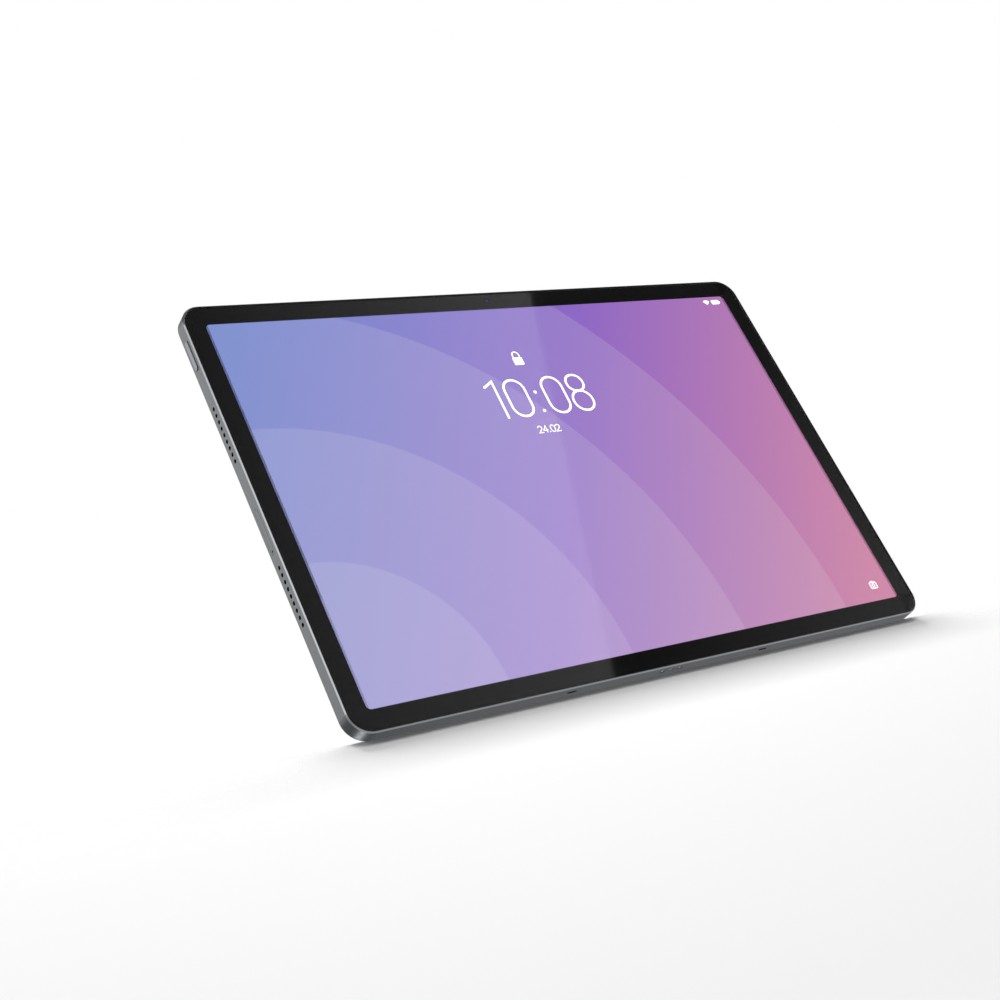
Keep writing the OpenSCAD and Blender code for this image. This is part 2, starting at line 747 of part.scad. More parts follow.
module rear_camera_module() {
    y0 = inner_y + 0.1;
    y1 = lens_glass_y - 0.9;
    color("#1b1c20") difference() {
        union() {
            block(lens_x - 5.5, y0, plate_z - 5.5, lens_x + 5.5, back_y - 0.1, plate_z + 5.5);
            rod_y(lens_x, back_y - 0.1 - eps, y1, plate_z, camera_hole_d - 0.5);
        }
        rod_y(lens_x, y0 + 0.8, y1 + eps, plate_z, barrel_d + 0.4);
    }
}

// Lens barrel that the focus motor moves along its axis
module focus_barrel() {
    y0 = inner_y + 1.3;
    y1 = lens_glass_y - 0.9 - barrel_travel;
    color("#15161a") ring_y_axis(lens_x, y0, y1, plate_z, barrel_d, 4.2);
    color("#3b4058") translate([lens_x, y1 - 0.35, plate_z]) rotate([-90, 0, 0]) intersection() {
        translate([0, 0, -2]) cylinder(h = 2.2, d = 4.2);
        translate([0, 0, -5]) sphere(d = 10);
    }
}

module microphones() {
    color("#c0b070") for (x = mic_x) block(x - 1.8, -1.2, in_z1 - 1.3, x + 1.8, 1.2, in_z1 - 0.2);
}

module antennas() {
    film = 0.2;
    color("#b58a3a") for (s = [-1, 1]) {
        block(s * 104 - 14, ledge_y + 0.3, in_z1 - 4.4, s * 104 + 14, ledge_y + 0.3 + film, in_z1 - 3.4);
        block(s * 104 - 14, ledge_y + 0.3, in_z1 - 2.6, s * 104 + 14, ledge_y + 0.3 + film, in_z1 - 1.8);
        block(s * 104 - 14, ledge_y + 0.3, in_z1 - 4.4, s * 104 - 13, ledge_y + 0.3 + film, in_z1 - 1.8);
    }
}

module dock_contacts() {
    color("#d8d9da") for (i = [-1 : 1]) rod_z(i * contact_pitch, 0, 0.2, in_z0 + 1.8, contact_d);
}

// Moulded block that holds the contacts clear of the metal body
module dock_contact_block() {
    color("#17181a") difference() {
        union() {
            block(-7.4, -1.6, in_z0, 7.4, 2, in_z0 + 1.4);
            for (i = [-1 : 1]) rod_z(i * contact_pitch, 0, 0.1, in_z0 + eps, contact_d + 0.8);
        }
        for (i = [-1 : 1]) rod_z(i * contact_pitch, 0, 0, in_z0 + 2, contact_d);
    }
}

module magnets() {
    pitch = 26;
    color("#a7a9ac") {
        for (s = [-1, 1]) block(s * 26 - 12, 0, in_z0 + 0.1, s * 26 + 12, back_y - 0.1, in_z0 + 3.1);
        for (i = [0 : pen_magnet_count - 1]) {
            x = (i - (pen_magnet_count - 1) / 2) * pitch;
            block(x - 9, back_y - 1.5, mid_z + 71, x + 9, back_y - 0.05, mid_z + 76);
        }
    }
}

module screw(x, z, y_head, y_tip) {
    rod_y(x, y_head, y_tip, z, screw_d - 0.04);
    translate([x, y_head, z]) rotate([-90, 0, 0]) cylinder(h = 0.45, d1 = 2.9, d2 = screw_d - 0.04);
}

module screws() {
    color("#c8cacc") {
        for (p = frame_bosses) screw(p[0], p[1], mid_y0 + 0.02, mid_y0 + 2.6);
        for (p = concat(board_bosses, usb_bosses)) {
            rod_y(p[0], board_y0 - 0.4, board_y0, p[1], 2.6);
            rod_y(p[0], board_y0 - eps, back_y + 0.3, p[1], screw_d - 0.04);
        }
    }
}

rear_housing();
cover_glass();
glass_border_print();
rim_adhesive();
optical_adhesive();
display_panel();
backlight_films();
light_guide_plate();
backlight_led_bar();
display_driver_board();
display_flex();
mid_frame();
battery_cell_left();
battery_cell_right();
battery_protection_board();
main_board();
processor();
memory_chips();
power_controller();
shield_can();
thermal_pad();
wireless_module();
graphite_sheet();
speaker_left_lower();
speaker_left_upper();
speaker_right_lower();
speaker_right_upper();
speaker_meshes();
usb_shell();
usb_tongue();
usb_board();
side_flex();
card_reader();
card_tray();
memory_card();
eject_rod();
eject_lever();
power_button();
power_switch();
volume_rocker();
rocker_pin();
volume_switches();
key_bracket();
front_camera_module();
front_camera_lens();
light_sensor();
camera_plate();
flash_ring();
flash_window();
flash_led();
lens_ring();
lens_cover_glass();
rear_camera_module();
focus_barrel();
microphones();
antennas();
dock_contacts();
dock_contact_block();
magnets();
screws();
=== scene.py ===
"""Visual model of a tablet computer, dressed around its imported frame.

The script loads the frame, gives every node a finish made from shader nodes, adds
the fine pieces that the frame leaves out, and sets a pale floor, soft studio light
and the camera. Lengths are in metres unless a name ends in _mm, and angles are in
degrees. The frame has +X to the right, the screen facing -Y, and +Z up.
"""

import logging
import math
from collections.abc import Iterable, Sequence
from dataclasses import dataclass
from enum import Enum

import bmesh
import bpy
from mathutils import Matrix, Vector


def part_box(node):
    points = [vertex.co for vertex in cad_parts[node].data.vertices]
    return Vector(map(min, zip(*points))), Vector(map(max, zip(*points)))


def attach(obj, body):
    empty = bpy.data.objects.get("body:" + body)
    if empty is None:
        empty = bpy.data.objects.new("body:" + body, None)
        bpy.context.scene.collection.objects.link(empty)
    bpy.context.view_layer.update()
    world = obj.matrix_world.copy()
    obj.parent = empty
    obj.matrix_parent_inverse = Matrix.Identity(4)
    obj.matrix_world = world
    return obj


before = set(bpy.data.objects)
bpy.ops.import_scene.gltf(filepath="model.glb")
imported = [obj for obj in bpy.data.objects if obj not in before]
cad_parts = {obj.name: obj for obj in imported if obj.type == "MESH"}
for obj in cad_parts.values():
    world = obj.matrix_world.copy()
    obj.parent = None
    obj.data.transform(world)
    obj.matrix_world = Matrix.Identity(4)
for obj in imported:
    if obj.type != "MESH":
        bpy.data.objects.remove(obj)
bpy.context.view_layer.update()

LOG = logging.getLogger("tablet")
MM = 0.001
ROOT = "root"

Point = tuple[float, float]
Triple = tuple[float, float, float]
Stops = tuple[tuple[float, str], ...]
Socket = bpy.types.NodeSocket
Tree = bpy.types.NodeTree
Material = bpy.types.Material
Shape = bmesh.types.BMesh

# Places of the colour sockets on a Mix node that mixes colours
FIRST, SECOND, MIXED = 6, 7, 2
# Most of a noise pattern's values lie between these
LOW, HIGH = 0.3, 0.7
# Scale at which a wave node repeats once per unit of its coordinates
WAVE_SCALE = 2 * math.pi / 20
# A surface within this depth of a node's box counts as its flat face
FACE_DEPTH = 0.05 * MM
# Edges that turn by more than this many degrees are shaded as sharp
SHARP_ANGLE = 35
# Least share of a leg's direction that a mitre keeps, so that a tight corner draws no spike
MITRE_LIMIT = 0.4


def linear(code: str) -> tuple[float, float, float, float]:
    """Turn an sRGB hex colour into linear light.

    Args:
        code: colour as "#rrggbb".

    Returns:
        Linear red, green and blue, with an alpha of 1.
    """
    shares = [int(code[i:i + 2], 16) / 255 for i in (1, 3, 5)]
    light = [s / 12.92 if s <= 0.04045 else ((s + 0.055) / 1.055) ** 2.4 for s in shares]
    return (light[0], light[1], light[2], 1.0)


def add(tree: Tree, kind: str, inputs: dict | None = None,
        stops: Stops = (), **settings: object) -> bpy.types.Node:
    """Add one shader node with its settings and its links.

    Args:
        tree: node tree that takes the node.
        kind: type of node, without its ShaderNode prefix.
        inputs: a constant or an output socket for each input, by name or number.
        stops: places and hex colours of a colour ramp.
        settings: properties of the node itself.

    Returns:
        The new node.
    """
    node = tree.nodes.new("ShaderNode" + kind)
    for key, value in settings.items():
        setattr(node, key, value)
    for key, value in (inputs or {}).items():
        if isinstance(value, Socket):
            tree.links.new(value, node.inputs[key])
        else:
            node.inputs[key].default_value = value
    for i, (place, code) in enumerate(stops):
        points = node.color_ramp.elements
        point = points[i] if i < 2 else points.new(place)
        point.position = place
        point.color = linear(code)
    return node


def blank(name: str) -> tuple[Material, Tree]:
    """Make a material with an empty node tree.

    Args:
        name: the material's name.

    Returns:
        The material and its node tree.
    """
    material = bpy.data.materials.new(name)
    material.use_nodes = True
    material.node_tree.nodes.clear()
    return material, material.node_tree


class Axis(Enum):
    """Axis that a part's main face looks along."""

    X = "X"
    Y = "Y"
    Z = "Z"


class Pattern(Enum):
    """Fine pattern of a surface: node type, output, settings, and stretch along X, Y and Z."""

    GRAIN = ("TexNoise", "Fac", {"Detail": 3.0, "Roughness": 0.6}, (1, 1, 1))
    CLOUD = ("TexNoise", "Fac", {"Detail": 1.0, "Roughness": 0.4}, (1, 1, 1))
    BRUSHED_X = ("TexNoise", "Fac", {"Detail": 2.0, "Roughness": 0.7}, (0.03, 1, 1))
    BRUSHED_Z = ("TexNoise", "Fac", {"Detail": 2.0, "Roughness": 0.7}, (1, 1, 0.03))
    CRINKLE = ("TexNoise", "Fac", {"Detail": 4.0, "Distortion": 1.5}, (1, 1, 0.4))
    CELLS = ("TexVoronoi", "Distance", {"Randomness": 0.9}, (1, 1, 1))
    DOTS = ("TexVoronoi", "Distance", {"Randomness": 0.0}, (1, 1, 1))
    TRACES = ("TexBrick", "Fac", {"Mortar Size": 0.12, "Brick Width": 1.7}, (1, 1, 1))


@dataclass(frozen=True)
class Finish:
    """A solid surface in two shades, mixed by a fine pattern that also moves its gloss and relief.

    Attributes:
        name: the real material and how its surface was made.
        shade: colour of the low places of the pattern.
        second: colour of its high places.
        pattern: kind of pattern.
        pitch_mm: size of one repeat or grain.
        metallic: 1 for bare metal, 0 for everything else.
        roughness: middle roughness.
        spread: how far the pattern moves the roughness each way.
        relief_mm: height of the pattern.
        ior: index of refraction; a metal keeps the default.
        coat: share of a clear coat over the surface.
        glow: strength of the light that the surface gives off.
        see_through: share of light that passes, 0 for an opaque part.
        coat_roughness: roughness of the clear coat.
    """

    name: str
    shade: str
    second: str
    pattern: Pattern = Pattern.GRAIN
    pitch_mm: float = 0.6
    metallic: float = 0.0
    roughness: float = 0.5
    spread: float = 0.06
    relief_mm: float = 0.01
    ior: float = 1.5
    coat: float = 0.0
    glow: float = 0.0
    see_through: float = 0.0
    coat_roughness: float = 0.08

    def make(self) -> Material:
        """Build the node material.

        Returns:
            The finished material.
        """
        material, tree = blank(self.name)
        place = add(tree, "TexCoord").outputs["Object"]
        grain = self.grain(tree, place)
        shader = add(tree, "BsdfPrincipled", {
            "Base Color": self.colour(tree, place, grain),
            "Roughness": self.gloss(tree, place, grain),
            "Normal": self.relief(tree, place, grain),
            "Metallic": self.metallic,
            "IOR": self.ior,
            "Coat Weight": self.coat,
            "Coat Roughness": self.coat_roughness,
            "Transmission Weight": self.see_through,
        })
        if self.glow:
            shader.inputs["Emission Color"].default_value = linear(self.second)
            shader.inputs["Emission Strength"].default_value = self.glow
        add(tree, "OutputMaterial", {"Surface": shader.outputs["BSDF"]})
        return material

    def grain(self, tree: Tree, place: Socket) -> Socket:
        """Return the pattern's value, from 0 in its low places to 1 in its high ones."""
        kind, output, settings, stretch = self.pattern.value
        scale = tuple(s / (self.pitch_mm * MM) for s in stretch)
        spot = add(tree, "Mapping", {"Vector": place, "Scale": scale}).outputs["Vector"]
        return add(tree, kind, {"Vector": spot, "Scale": 1.0, **settings}).outputs[output]

    def colour(self, tree: Tree, place: Socket, grain: Socket) -> Socket:
        """Return the surface's colour."""
        return add(tree, "ValToRGB", {"Fac": grain},
                   stops=((LOW, self.shade), (HIGH, self.second))).outputs["Color"]

    def gloss(self, tree: Tree, place: Socket, grain: Socket) -> Socket:
        """Return the surface's roughness."""
        low, high = self.roughness - self.spread, self.roughness + self.spread
        return add(tree, "MapRange", {"Value": grain, "From Min": LOW, "From Max": HIGH,
                                      "To Min": low, "To Max": high}).outputs["Result"]

    def relief(self, tree: Tree, place: Socket, grain: Socket) -> Socket:
        """Return the surface's bumped normal."""
        return add(tree, "Bump", {"Height": grain, "Strength": 1.0,
                                  "Distance": self.relief_mm * MM}).outputs["Normal"]


@dataclass(frozen=True)
class CutMetal(Finish):
    """Metal with a satin face and bright edges, where a cutter has trimmed the corner.

    Attributes:
        face: axis that the part's face looks along; its edges are the bevels around it.
        sense: 1 if the face looks up that axis, -1 if it looks down it.
        edge: colour of the cut edge.
        edge_roughness: roughness of the cut edge.
        lean: middle of how far a bevel's normal leans along the face's axis.
        lean_span: how far from that middle a normal still counts as a bevel's.
    """

    metallic: float = 1.0
    face: Axis = Axis.Y
    sense: float = 1.0
    edge: str = "#d4d6d9"
    edge_roughness: float = 0.2
    lean: float = 0.6
    lean_span: float = 0.35

    def bevel(self, tree: Tree) -> Socket:
        """Return 1 on the bevels between the face and the sides, and 0 elsewhere."""
        normal = add(tree, "NewGeometry").outputs["True Normal"]
        lean = add(tree, "SeparateXYZ", {"Vector": normal}).outputs[self.face.value]
        size = add(tree, "Math", {0: lean, 1: self.sense}, operation="MULTIPLY").outputs["Value"]
        return add(tree, "Math", {0: size, 1: self.lean, 2: self.lean_span},
                   operation="COMPARE").outputs["Value"]

    def colour(self, tree: Tree, place: Socket, grain: Socket) -> Socket:
        """Return the satin colour, with the bright edge over it."""
        satin = super().colour(tree, place, grain)
        return add(tree, "Mix", {"Factor": self.bevel(tree), FIRST: satin, SECOND: linear(self.edge)},
                   data_type="RGBA").outputs[MIXED]

    def gloss(self, tree: Tree, place: Socket, grain: Socket) -> Socket:
        """Return the satin roughness, with the smoother edge over it."""
        satin = super().gloss(tree, place, grain)
        return add(tree, "Mix", {"Factor": self.bevel(tree), "A": satin, "B": self.edge_roughness},
                   data_type="FLOAT").outputs["Result"]


@dataclass(frozen=True)
class BandedMetal(CutMetal):
    """The rear shell's metal, with a finely ribbed band across the upper part of its back.

    Attributes:
        band_x: half of the band's width.
        band_low: lower edge of the band.
        band_high: upper edge of the band.
        band_round: radius of the band's corners.
        back: depth past which the surface is the flat back.
        rib_mm: spacing of the ribs.
        rib_depth_mm: depth of the ribs.
        rib_turn: direction of the ribs from the horizontal.
        cross: share of the second set of ribs, which crosses the first.
        painted_groove_shade: painted shade in the grooves between the ribs.
        body: half width, lower edge and upper edge of what counts as the inside of the shell.
        body_round: radius of that outline's corners.
        wall_y: half of the depth within which the inside walls lie.
        painted_hollow_shade: painted shade on the walls inside the openings, dark as if little light reached
            them.
    """

    band_x: float = 0.143
    band_low: float = 0.1454
    band_high: float = 0.1869
    band_round: float = 0.0065
    back: float = 0.0034
    rib_mm: float = 1.2
    rib_depth_mm: float = 0.06
    rib_turn: float = -45.0
    cross: float = 0.3
    painted_groove_shade: str = "#58595b"
    body: Triple = (0.1457, 0.0002, 0.1889)
    body_round: float = 0.0073
    wall_y: float = 0.0026
    painted_hollow_shade: str = "#161617"

    def within(self, tree: Tree, place: Socket, span: Triple, radius: float) -> Socket:
        """Return 1 inside an upright outline with round corners, and 0 outside it.

        Args:
            tree: node tree of the material.
            place: place on the shell.
            span: half width, lower edge and upper edge of the outline.
            radius: radius of its corners.

        Returns:
            The mask.
        """
        wide, low, high = span
        middle = (0.0, 0.0, (low + high) / 2)
        core = (wide - radius, 1.0, (high - low) / 2 - radius)
        off = add(tree, "VectorMath", {0: place, 1: middle}, operation="SUBTRACT").outputs[0]
        size = add(tree, "VectorMath", {0: off}, operation="ABSOLUTE").outputs[0]
        past = add(tree, "VectorMath", {0: size, 1: core}, operation="SUBTRACT").outputs[0]
        over = add(tree, "VectorMath", {0: past, 1: (0, 0, 0)}, operation="MAXIMUM").outputs[0]
        far = add(tree, "VectorMath", {0: over}, operation="LENGTH").outputs["Value"]
        return add(tree, "Math", {0: far, 1: radius}, operation="LESS_THAN").outputs[0]

    def hollow_shade_mask(self, tree: Tree, place: Socket) -> Socket:
        """Return 1 on the walls inside the shell and its openings, which take the painted shade, and 0 on
        its outside.
        """
        inside = self.within(tree, place, self.body, self.body_round)
        depth = add(tree, "SeparateXYZ", {"Vector": place}).outputs["Y"]
        deep = add(tree, "Math", {0: depth, 1: 0.0, 2: self.wall_y}, operation="COMPARE").outputs[0]
        return add(tree, "Math", {0: inside, 1: deep}, operation="MULTIPLY").outputs[0]

    def band(self, tree: Tree, place: Socket) -> Socket:
        """Return 1 inside the band's rounded outline on the flat back, and 0 elsewhere."""
        inside = self.within(tree, place, (self.band_x, self.band_low, self.band_high), self.band_round)
        depth = add(tree, "SeparateXYZ", {"Vector": place}).outputs["Y"]
        behind = add(tree, "Math", {0: depth, 1: self.back}, operation="GREATER_THAN").outputs[0]
        return add(tree, "Math", {0: inside, 1: behind}, operation="MULTIPLY").outputs[0]

    def ribs(self, tree: Tree, place: Socket) -> Socket:
        """Return the height of the crossed ribs, from 0 to 1."""
        waves = []
        for turn in (self.rib_turn, -self.rib_turn):
            spot = add(tree, "Mapping", {"Vector": place, "Rotation": (0, math.radians(turn), 0)})
            scale = WAVE_SCALE / (self.rib_mm * MM)
            waves.append(add(tree, "TexWave", {"Vector": spot.outputs["Vector"], "Scale": scale},
                             bands_direction="X").outputs["Fac"])
        return add(tree, "Mix", {"Factor": self.cross, "A": waves[0], "B": waves[1]},
                   data_type="FLOAT").outputs["Result"]

    def colour(self, tree: Tree, place: Socket, grain: Socket) -> Socket:
        """Return the shell's colour, with painted shade in the band's grooves and on the walls inside its
        openings.
        """
        plain = super().colour(tree, place, grain)
        # Painted shade: the grooves between the ribs are darkened in colour
        groove = add(tree, "Math", {0: 1.0, 1: self.ribs(tree, place)}, operation="SUBTRACT").outputs[0]
        share = add(tree, "Math", {0: groove, 1: self.band(tree, place)},
                    operation="MULTIPLY").outputs[0]
        ribbed = add(tree, "Mix", {"Factor": share, FIRST: plain, SECOND: linear(self.painted_groove_shade)},
                     data_type="RGBA").outputs[MIXED]
        # Painted shade: the walls inside the shell and its openings are darkened in colour
        return add(tree, "Mix", {"Factor": self.hollow_shade_mask(tree, place), FIRST: ribbed,
                                 SECOND: linear(self.painted_hollow_shade)}, data_type="RGBA").outputs[MIXED]

    def relief(self, tree: Tree, place: Socket, grain: Socket) -> Socket:
        """Return the normal of the blasted surface, with the ribs over it in the band."""
        plain = super().relief(tree, place, grain)
        height = add(tree, "Math", {0: self.ribs(tree, place), 1: self.band(tree, place)},
                     operation="MULTIPLY").outputs[0]
        return add(tree, "Bump", {"Height": height, "Strength": 1.0, "Normal": plain,
                                  "Distance": self.rib_depth_mm * MM}).outputs["Normal"]


@dataclass(frozen=True)
class RingedFace(Finish):
    """A round face whose colours run outward from its axis, with fine rings cut round it.

    Attributes:
        centre: X and Z of the axis.
        radius: radius of the face.
        colours: colours from the rim, at 0, to the axis, at 1.
        ring_mm: spacing of the rings.
        ring_depth_mm: depth of the rings.
        tint: share of the grain's own colours in the face.
    """

    centre: Point = (0.0, 0.0)
    radius: float = 0.007
    colours: Stops = ()
    ring_mm: float = 0.7
    ring_depth_mm: float = 0.02
    tint: float = 0.15

    def spot(self, tree: Tree, place: Socket) -> Socket:
        """Return the place as seen from the axis, where the rim has radius 1."""
        middle = (self.centre[0], 0.0, self.centre[1])
        off = add(tree, "VectorMath", {0: place, 1: middle}, operation="SUBTRACT").outputs[0]
        size = (1 / self.radius, 0.0, 1 / self.radius)
        return add(tree, "VectorMath", {0: off, 1: size}, operation="MULTIPLY").outputs[0]

    def colour(self, tree: Tree, place: Socket, grain: Socket) -> Socket:
        """Return the colour at a distance from the axis, with a little of the grain in it."""
        depth = add(tree, "TexGradient", {"Vector": self.spot(tree, place)}, gradient_type="SPHERICAL")
        rings = add(tree, "ValToRGB", {"Fac": depth.outputs["Fac"]}, stops=self.colours).outputs["Color"]
        plain = super().colour(tree, place, grain)
        return add(tree, "Mix", {"Factor": self.tint, FIRST: rings, SECOND: plain},
                   data_type="RGBA").outputs[MIXED]

    def relief(self, tree: Tree, place: Socket, grain: Socket) -> Socket:
        """Return the normal of the fine rings."""
        scale = WAVE_SCALE * self.radius / (self.ring_mm * MM)
        wave = add(tree, "TexWave", {"Vector": self.spot(tree, place), "Scale": scale},
                   wave_type="RINGS", rings_direction="SPHERICAL").outputs["Fac"]
        return add(tree, "Bump", {"Height": wave, "Strength": 1.0,
                                  "Distance": self.ring_depth_mm * MM}).outputs["Normal"]


@dataclass(frozen=True)
class ClearSheet:
    """A flat clear part: light passes straight through, and each face mirrors a little.

    Attributes:
        name: the real material and how its surface was made.
        tint: colour that the sheet gives to what lies behind it.
        mirror: share that one face mirrors when it is seen square on.
        roughness: roughness of the mirrored light.
        smear_mm: size of the faint wipe marks that move the roughness.
        sheen: colour of the mirrored light.
    """

    name: str
    tint: str
    mirror: float = 0.02
    roughness: float = 0.02
    smear_mm: float = 18.0
    sheen: str = "#ffffff"

    def make(self) -> Material:
        """Build the node material.

        Returns:
            The finished material.
        """
        material, tree = blank(self.name)
        place = add(tree, "TexCoord").outputs["Object"]
        smear = add(tree, "TexNoise", {"Vector": place, "Scale": 1 / (self.smear_mm * MM),
                                       "Detail": 2.0}).outputs["Fac"]
        gloss = add(tree, "MapRange", {"Value": smear, "To Min": self.roughness,
                                       "To Max": self.roughness * 2}).outputs["Result"]
        # A face mirrors more as it is seen more from the side
        lean = add(tree, "LayerWeight", {"Blend": 0.5}).outputs["Facing"]
        steep = add(tree, "Math", {0: lean, 1: 5.0}, operation="POWER").outputs[0]
        share = add(tree, "MapRange", {"Value": steep, "To Min": self.mirror}).outputs["Result"]
        clear = add(tree, "BsdfTransparent", {"Color": linear(self.tint)})
        shine = add(tree, "BsdfAnisotropic", {"Color": linear(self.sheen), "Roughness": gloss})
        both = add(tree, "MixShader", {0: share, 1: clear.outputs[0], 2: shine.outputs[0]})
        add(tree, "OutputMaterial", {"Surface": both.outputs[0]})
        return material


@dataclass(frozen=True)
class Disc:
    """A plain round veil of one colour in the screen picture, in millimetres from its middle.

    Attributes:
        centre: middle of the disc.
        radius: radius of the disc.
        colour: colour of the veil.
        share: how much of that colour covers what lies below.
        soft: width of its edge.
    """

    centre: Point
    radius: float
    colour: str
    share: float = 0.08
    soft: float = 0.5

    def paint(self, tree: Tree, plane: Socket, under: Socket) -> Socket:
        """Paint the disc over a picture.

        Args:
            tree: node tree of the picture.
            plane: place on the screen.
            under: colour of what lies below.

        Returns:
            The colour with the disc painted.
        """
        off = add(tree, "VectorMath", {0: plane, 1: (*self.centre, 0.0)}, operation="SUBTRACT").outputs[0]
        far = add(tree, "VectorMath", {0: off}, operation="LENGTH").outputs["Value"]
        cover = add(tree, "MapRange", {"Value": far, "From Min": self.radius + self.soft / 2,
                                       "From Max": self.radius - self.soft / 2,
                                       "To Max": self.share}).outputs["Result"]
        return add(tree, "Mix", {0: cover, FIRST: under, SECOND: linear(self.colour)},
                   data_type="RGBA").outputs[MIXED]


@dataclass(frozen=True)
class LitPicture:
    """The display panel: dark filter glass whose front shows a picture by its own light.

    Attributes:
        name: the real material and how its surface was made.
        middle: middle of the screen.
        front: depth in front of which the surface gives light.
        sky: colours of the backdrop, from its upper left to its lower right.
        sky_reach_mm: half of the distance that the backdrop's colours span.
        sky_turn: direction of that span.
        shapes: discs, from back to front.
        dot_mm: size of the faint grain that stands in for the picture's dots.
        dark: colour of the glass where it gives no light.
        gloss: lowest and highest roughness of its front.
    """

    name: str
    middle: Triple
    front: float
    sky: Stops
    shapes: tuple[Disc, ...]
    sky_reach_mm: float = 150.0
    sky_turn: float = -30.0
    dot_mm: float = 0.5
    dark: str = "#020203"
    gloss: Point = (0.02, 0.04)

    def make(self) -> Material:
        """Build the node material.

        Returns:
            The finished material.
        """
        material, tree = blank(self.name)
        place = add(tree, "TexCoord").outputs["Object"]
        off = add(tree, "VectorMath", {0: place, 1: self.middle}, operation="SUBTRACT").outputs[0]
        parts = add(tree, "SeparateXYZ", {"Vector": off}).outputs
        flat = add(tree, "CombineXYZ", {"X": parts["X"], "Y": parts["Z"]}).outputs["Vector"]
        plane = add(tree, "VectorMath", {0: flat, "Scale": 1 / MM}, operation="SCALE").outputs[0]
        picture = self.backdrop(tree, plane)
        for shape in self.shapes:
            picture = shape.paint(tree, plane, picture)
        depth = add(tree, "SeparateXYZ", {"Vector": place}).outputs["Y"]
        lit = add(tree, "Math", {0: depth, 1: self.front}, operation="LESS_THAN").outputs[0]
        dots = add(tree, "TexVoronoi", {"Vector": plane, "Scale": 1 / self.dot_mm, "Randomness": 0.0})
        gloss = add(tree, "MapRange", {"Value": dots.outputs["Distance"], "To Min": self.gloss[0],
                                       "To Max": self.gloss[1]}).outputs["Result"]
        shader = add(tree, "BsdfPrincipled", {"Base Color": linear(self.dark), "Roughness": gloss,
                                              "Emission Color": picture, "Emission Strength": lit})
        add(tree, "OutputMaterial", {"Surface": shader.outputs["BSDF"]})
        return material

    def backdrop(self, tree: Tree, plane: Socket) -> Socket:
        """Return the picture's backdrop, a soft run of colours from corner to corner."""
        span = add(tree, "Mapping", {"Vector": plane, "Rotation": (0, 0, math.radians(self.sky_turn)),
                                     "Scale": (self.sky_reach_mm,) * 3},
                   vector_type="TEXTURE").outputs["Vector"]
        along = add(tree, "SeparateXYZ", {"Vector": span}).outputs["X"]
        share = add(tree, "MapRange", {"Value": along, "From Min": -1.0}).outputs["Result"]
        return add(tree, "ValToRGB", {"Fac": share}, stops=self.sky).outputs["Color"]


# Finishes. Each starts from the real material; the comment says what it gives the eye.

# Bead-blasted and anodised: an even, soft grey with a fine sparkle and bright trimmed edges
SHELL = dict(shade="#6f7172", second="#7b7d7e", pitch_mm=0.7, roughness=0.38, relief_mm=0.012)
# Lapped and clear anodised: smoother and a little brighter than the shell
PLATE_METAL = CutMetal("aluminium_lapped_anodised", "#929497", "#9b9da0", Pattern.BRUSHED_X,
                       pitch_mm=0.4, roughness=0.3, spread=0.03, relief_mm=0.001, edge="#e2e3e5",
                       edge_roughness=0.12)
# Turned, dyed black and trimmed: a black hoop between two mirror-bright lines
LENS_HOOP = CutMetal("aluminium_turned_black_anodised", "#101012", "#1a1a1d", Pattern.CLOUD, 2.0,
                     roughness=0.3, relief_mm=0.002, edge="#e6e7e9", edge_roughness=0.14)
# Turned and polished: a mirror-bright hoop that draws a thin line of light
HOOP_STEEL = Finish("stainless_steel_turned", "#c9cbcd", "#dedfe1", Pattern.CLOUD, 2.0, metallic=1.0,
                    roughness=0.22, spread=0.04, relief_mm=0.002)
# Punched and tumbled: dull silver with a cloudy tone
PRESSED_STEEL = Finish("nickel_silver_pressed", "#9c9a94", "#b9b7b1", Pattern.CLOUD, 3.0, metallic=1.0,
                       roughness=0.34, relief_mm=0.006)
# Die cast and machined plate behind the screen: pale, faintly brushed metal
CAST_PLATE = Finish("magnesium_alloy_machined", "#a7a9ab", "#bfc1c3", Pattern.BRUSHED_X, 1.0, metallic=1.0,
                    roughness=0.38, relief_mm=0.006)
# Screen-printed under the glass and seen as one with it: deep, even black with a crisp dim mirror
BORDER_INK = Finish("ink_screen_printed", "#060606", "#090909", Pattern.CLOUD, 4.0, roughness=0.03,
                    spread=0.005, relief_mm=0.0)
# Slit foam tape: matt charcoal with open cells
FOAM = Finish("foam_tape_slit", "#1c1c1f", "#2b2b2f", Pattern.CELLS, 0.4, roughness=0.85, relief_mm=0.04)
# Poured clear glue: nothing but a faint gleam
CLEAR_GLUE = ClearSheet("acrylic_glue_cured", "#fefefe", mirror=0.0, roughness=0.2)
# Toughened float glass, bonded to the ink and the panel, which carry its mirror: clear, bright at a slant
FRONT_GLASS = ClearSheet("aluminosilicate_glass_polished", "#fefefe", mirror=0.004, roughness=0.03)
# Coated lens window: a dark pane with a violet-green gleam
LENS_GLASS = ClearSheet("sapphire_glass_coated", "#c9ccd2", mirror=0.02, sheen="#b9c4f2")
# Stretched white polyester: milky and slightly silky
WHITE_FILM = Finish("polyester_film_stretched", "#e9ebee", "#f6f7f8", Pattern.CLOUD, 6.0, roughness=0.35,
                    relief_mm=0.002)
# Cast acrylic with printed dots: glassy with a fine grid
GUIDE_ACRYLIC = Finish("acrylic_dot_printed", "#d9e6ee", "#f2f8fb", Pattern.DOTS, 1.0, roughness=0.12,
                       ior=1.49, relief_mm=0.02, see_through=0.6)
# Lamp strip: white resin over a flex, with yellow phosphor windows
LAMP_STRIP = Finish("epoxy_phosphor_moulded", "#e8d27a", "#f6efcf", Pattern.CELLS, 2.0, roughness=0.4)
# Etched and lacquered laminate: green-black with a net of raised tracks
BOARD = Finish("fibreglass_laminate_lacquered", "#0d2a22", "#1c4a39", Pattern.TRACES, 1.4, roughness=0.35,
               relief_mm=0.03, coat=0.3)
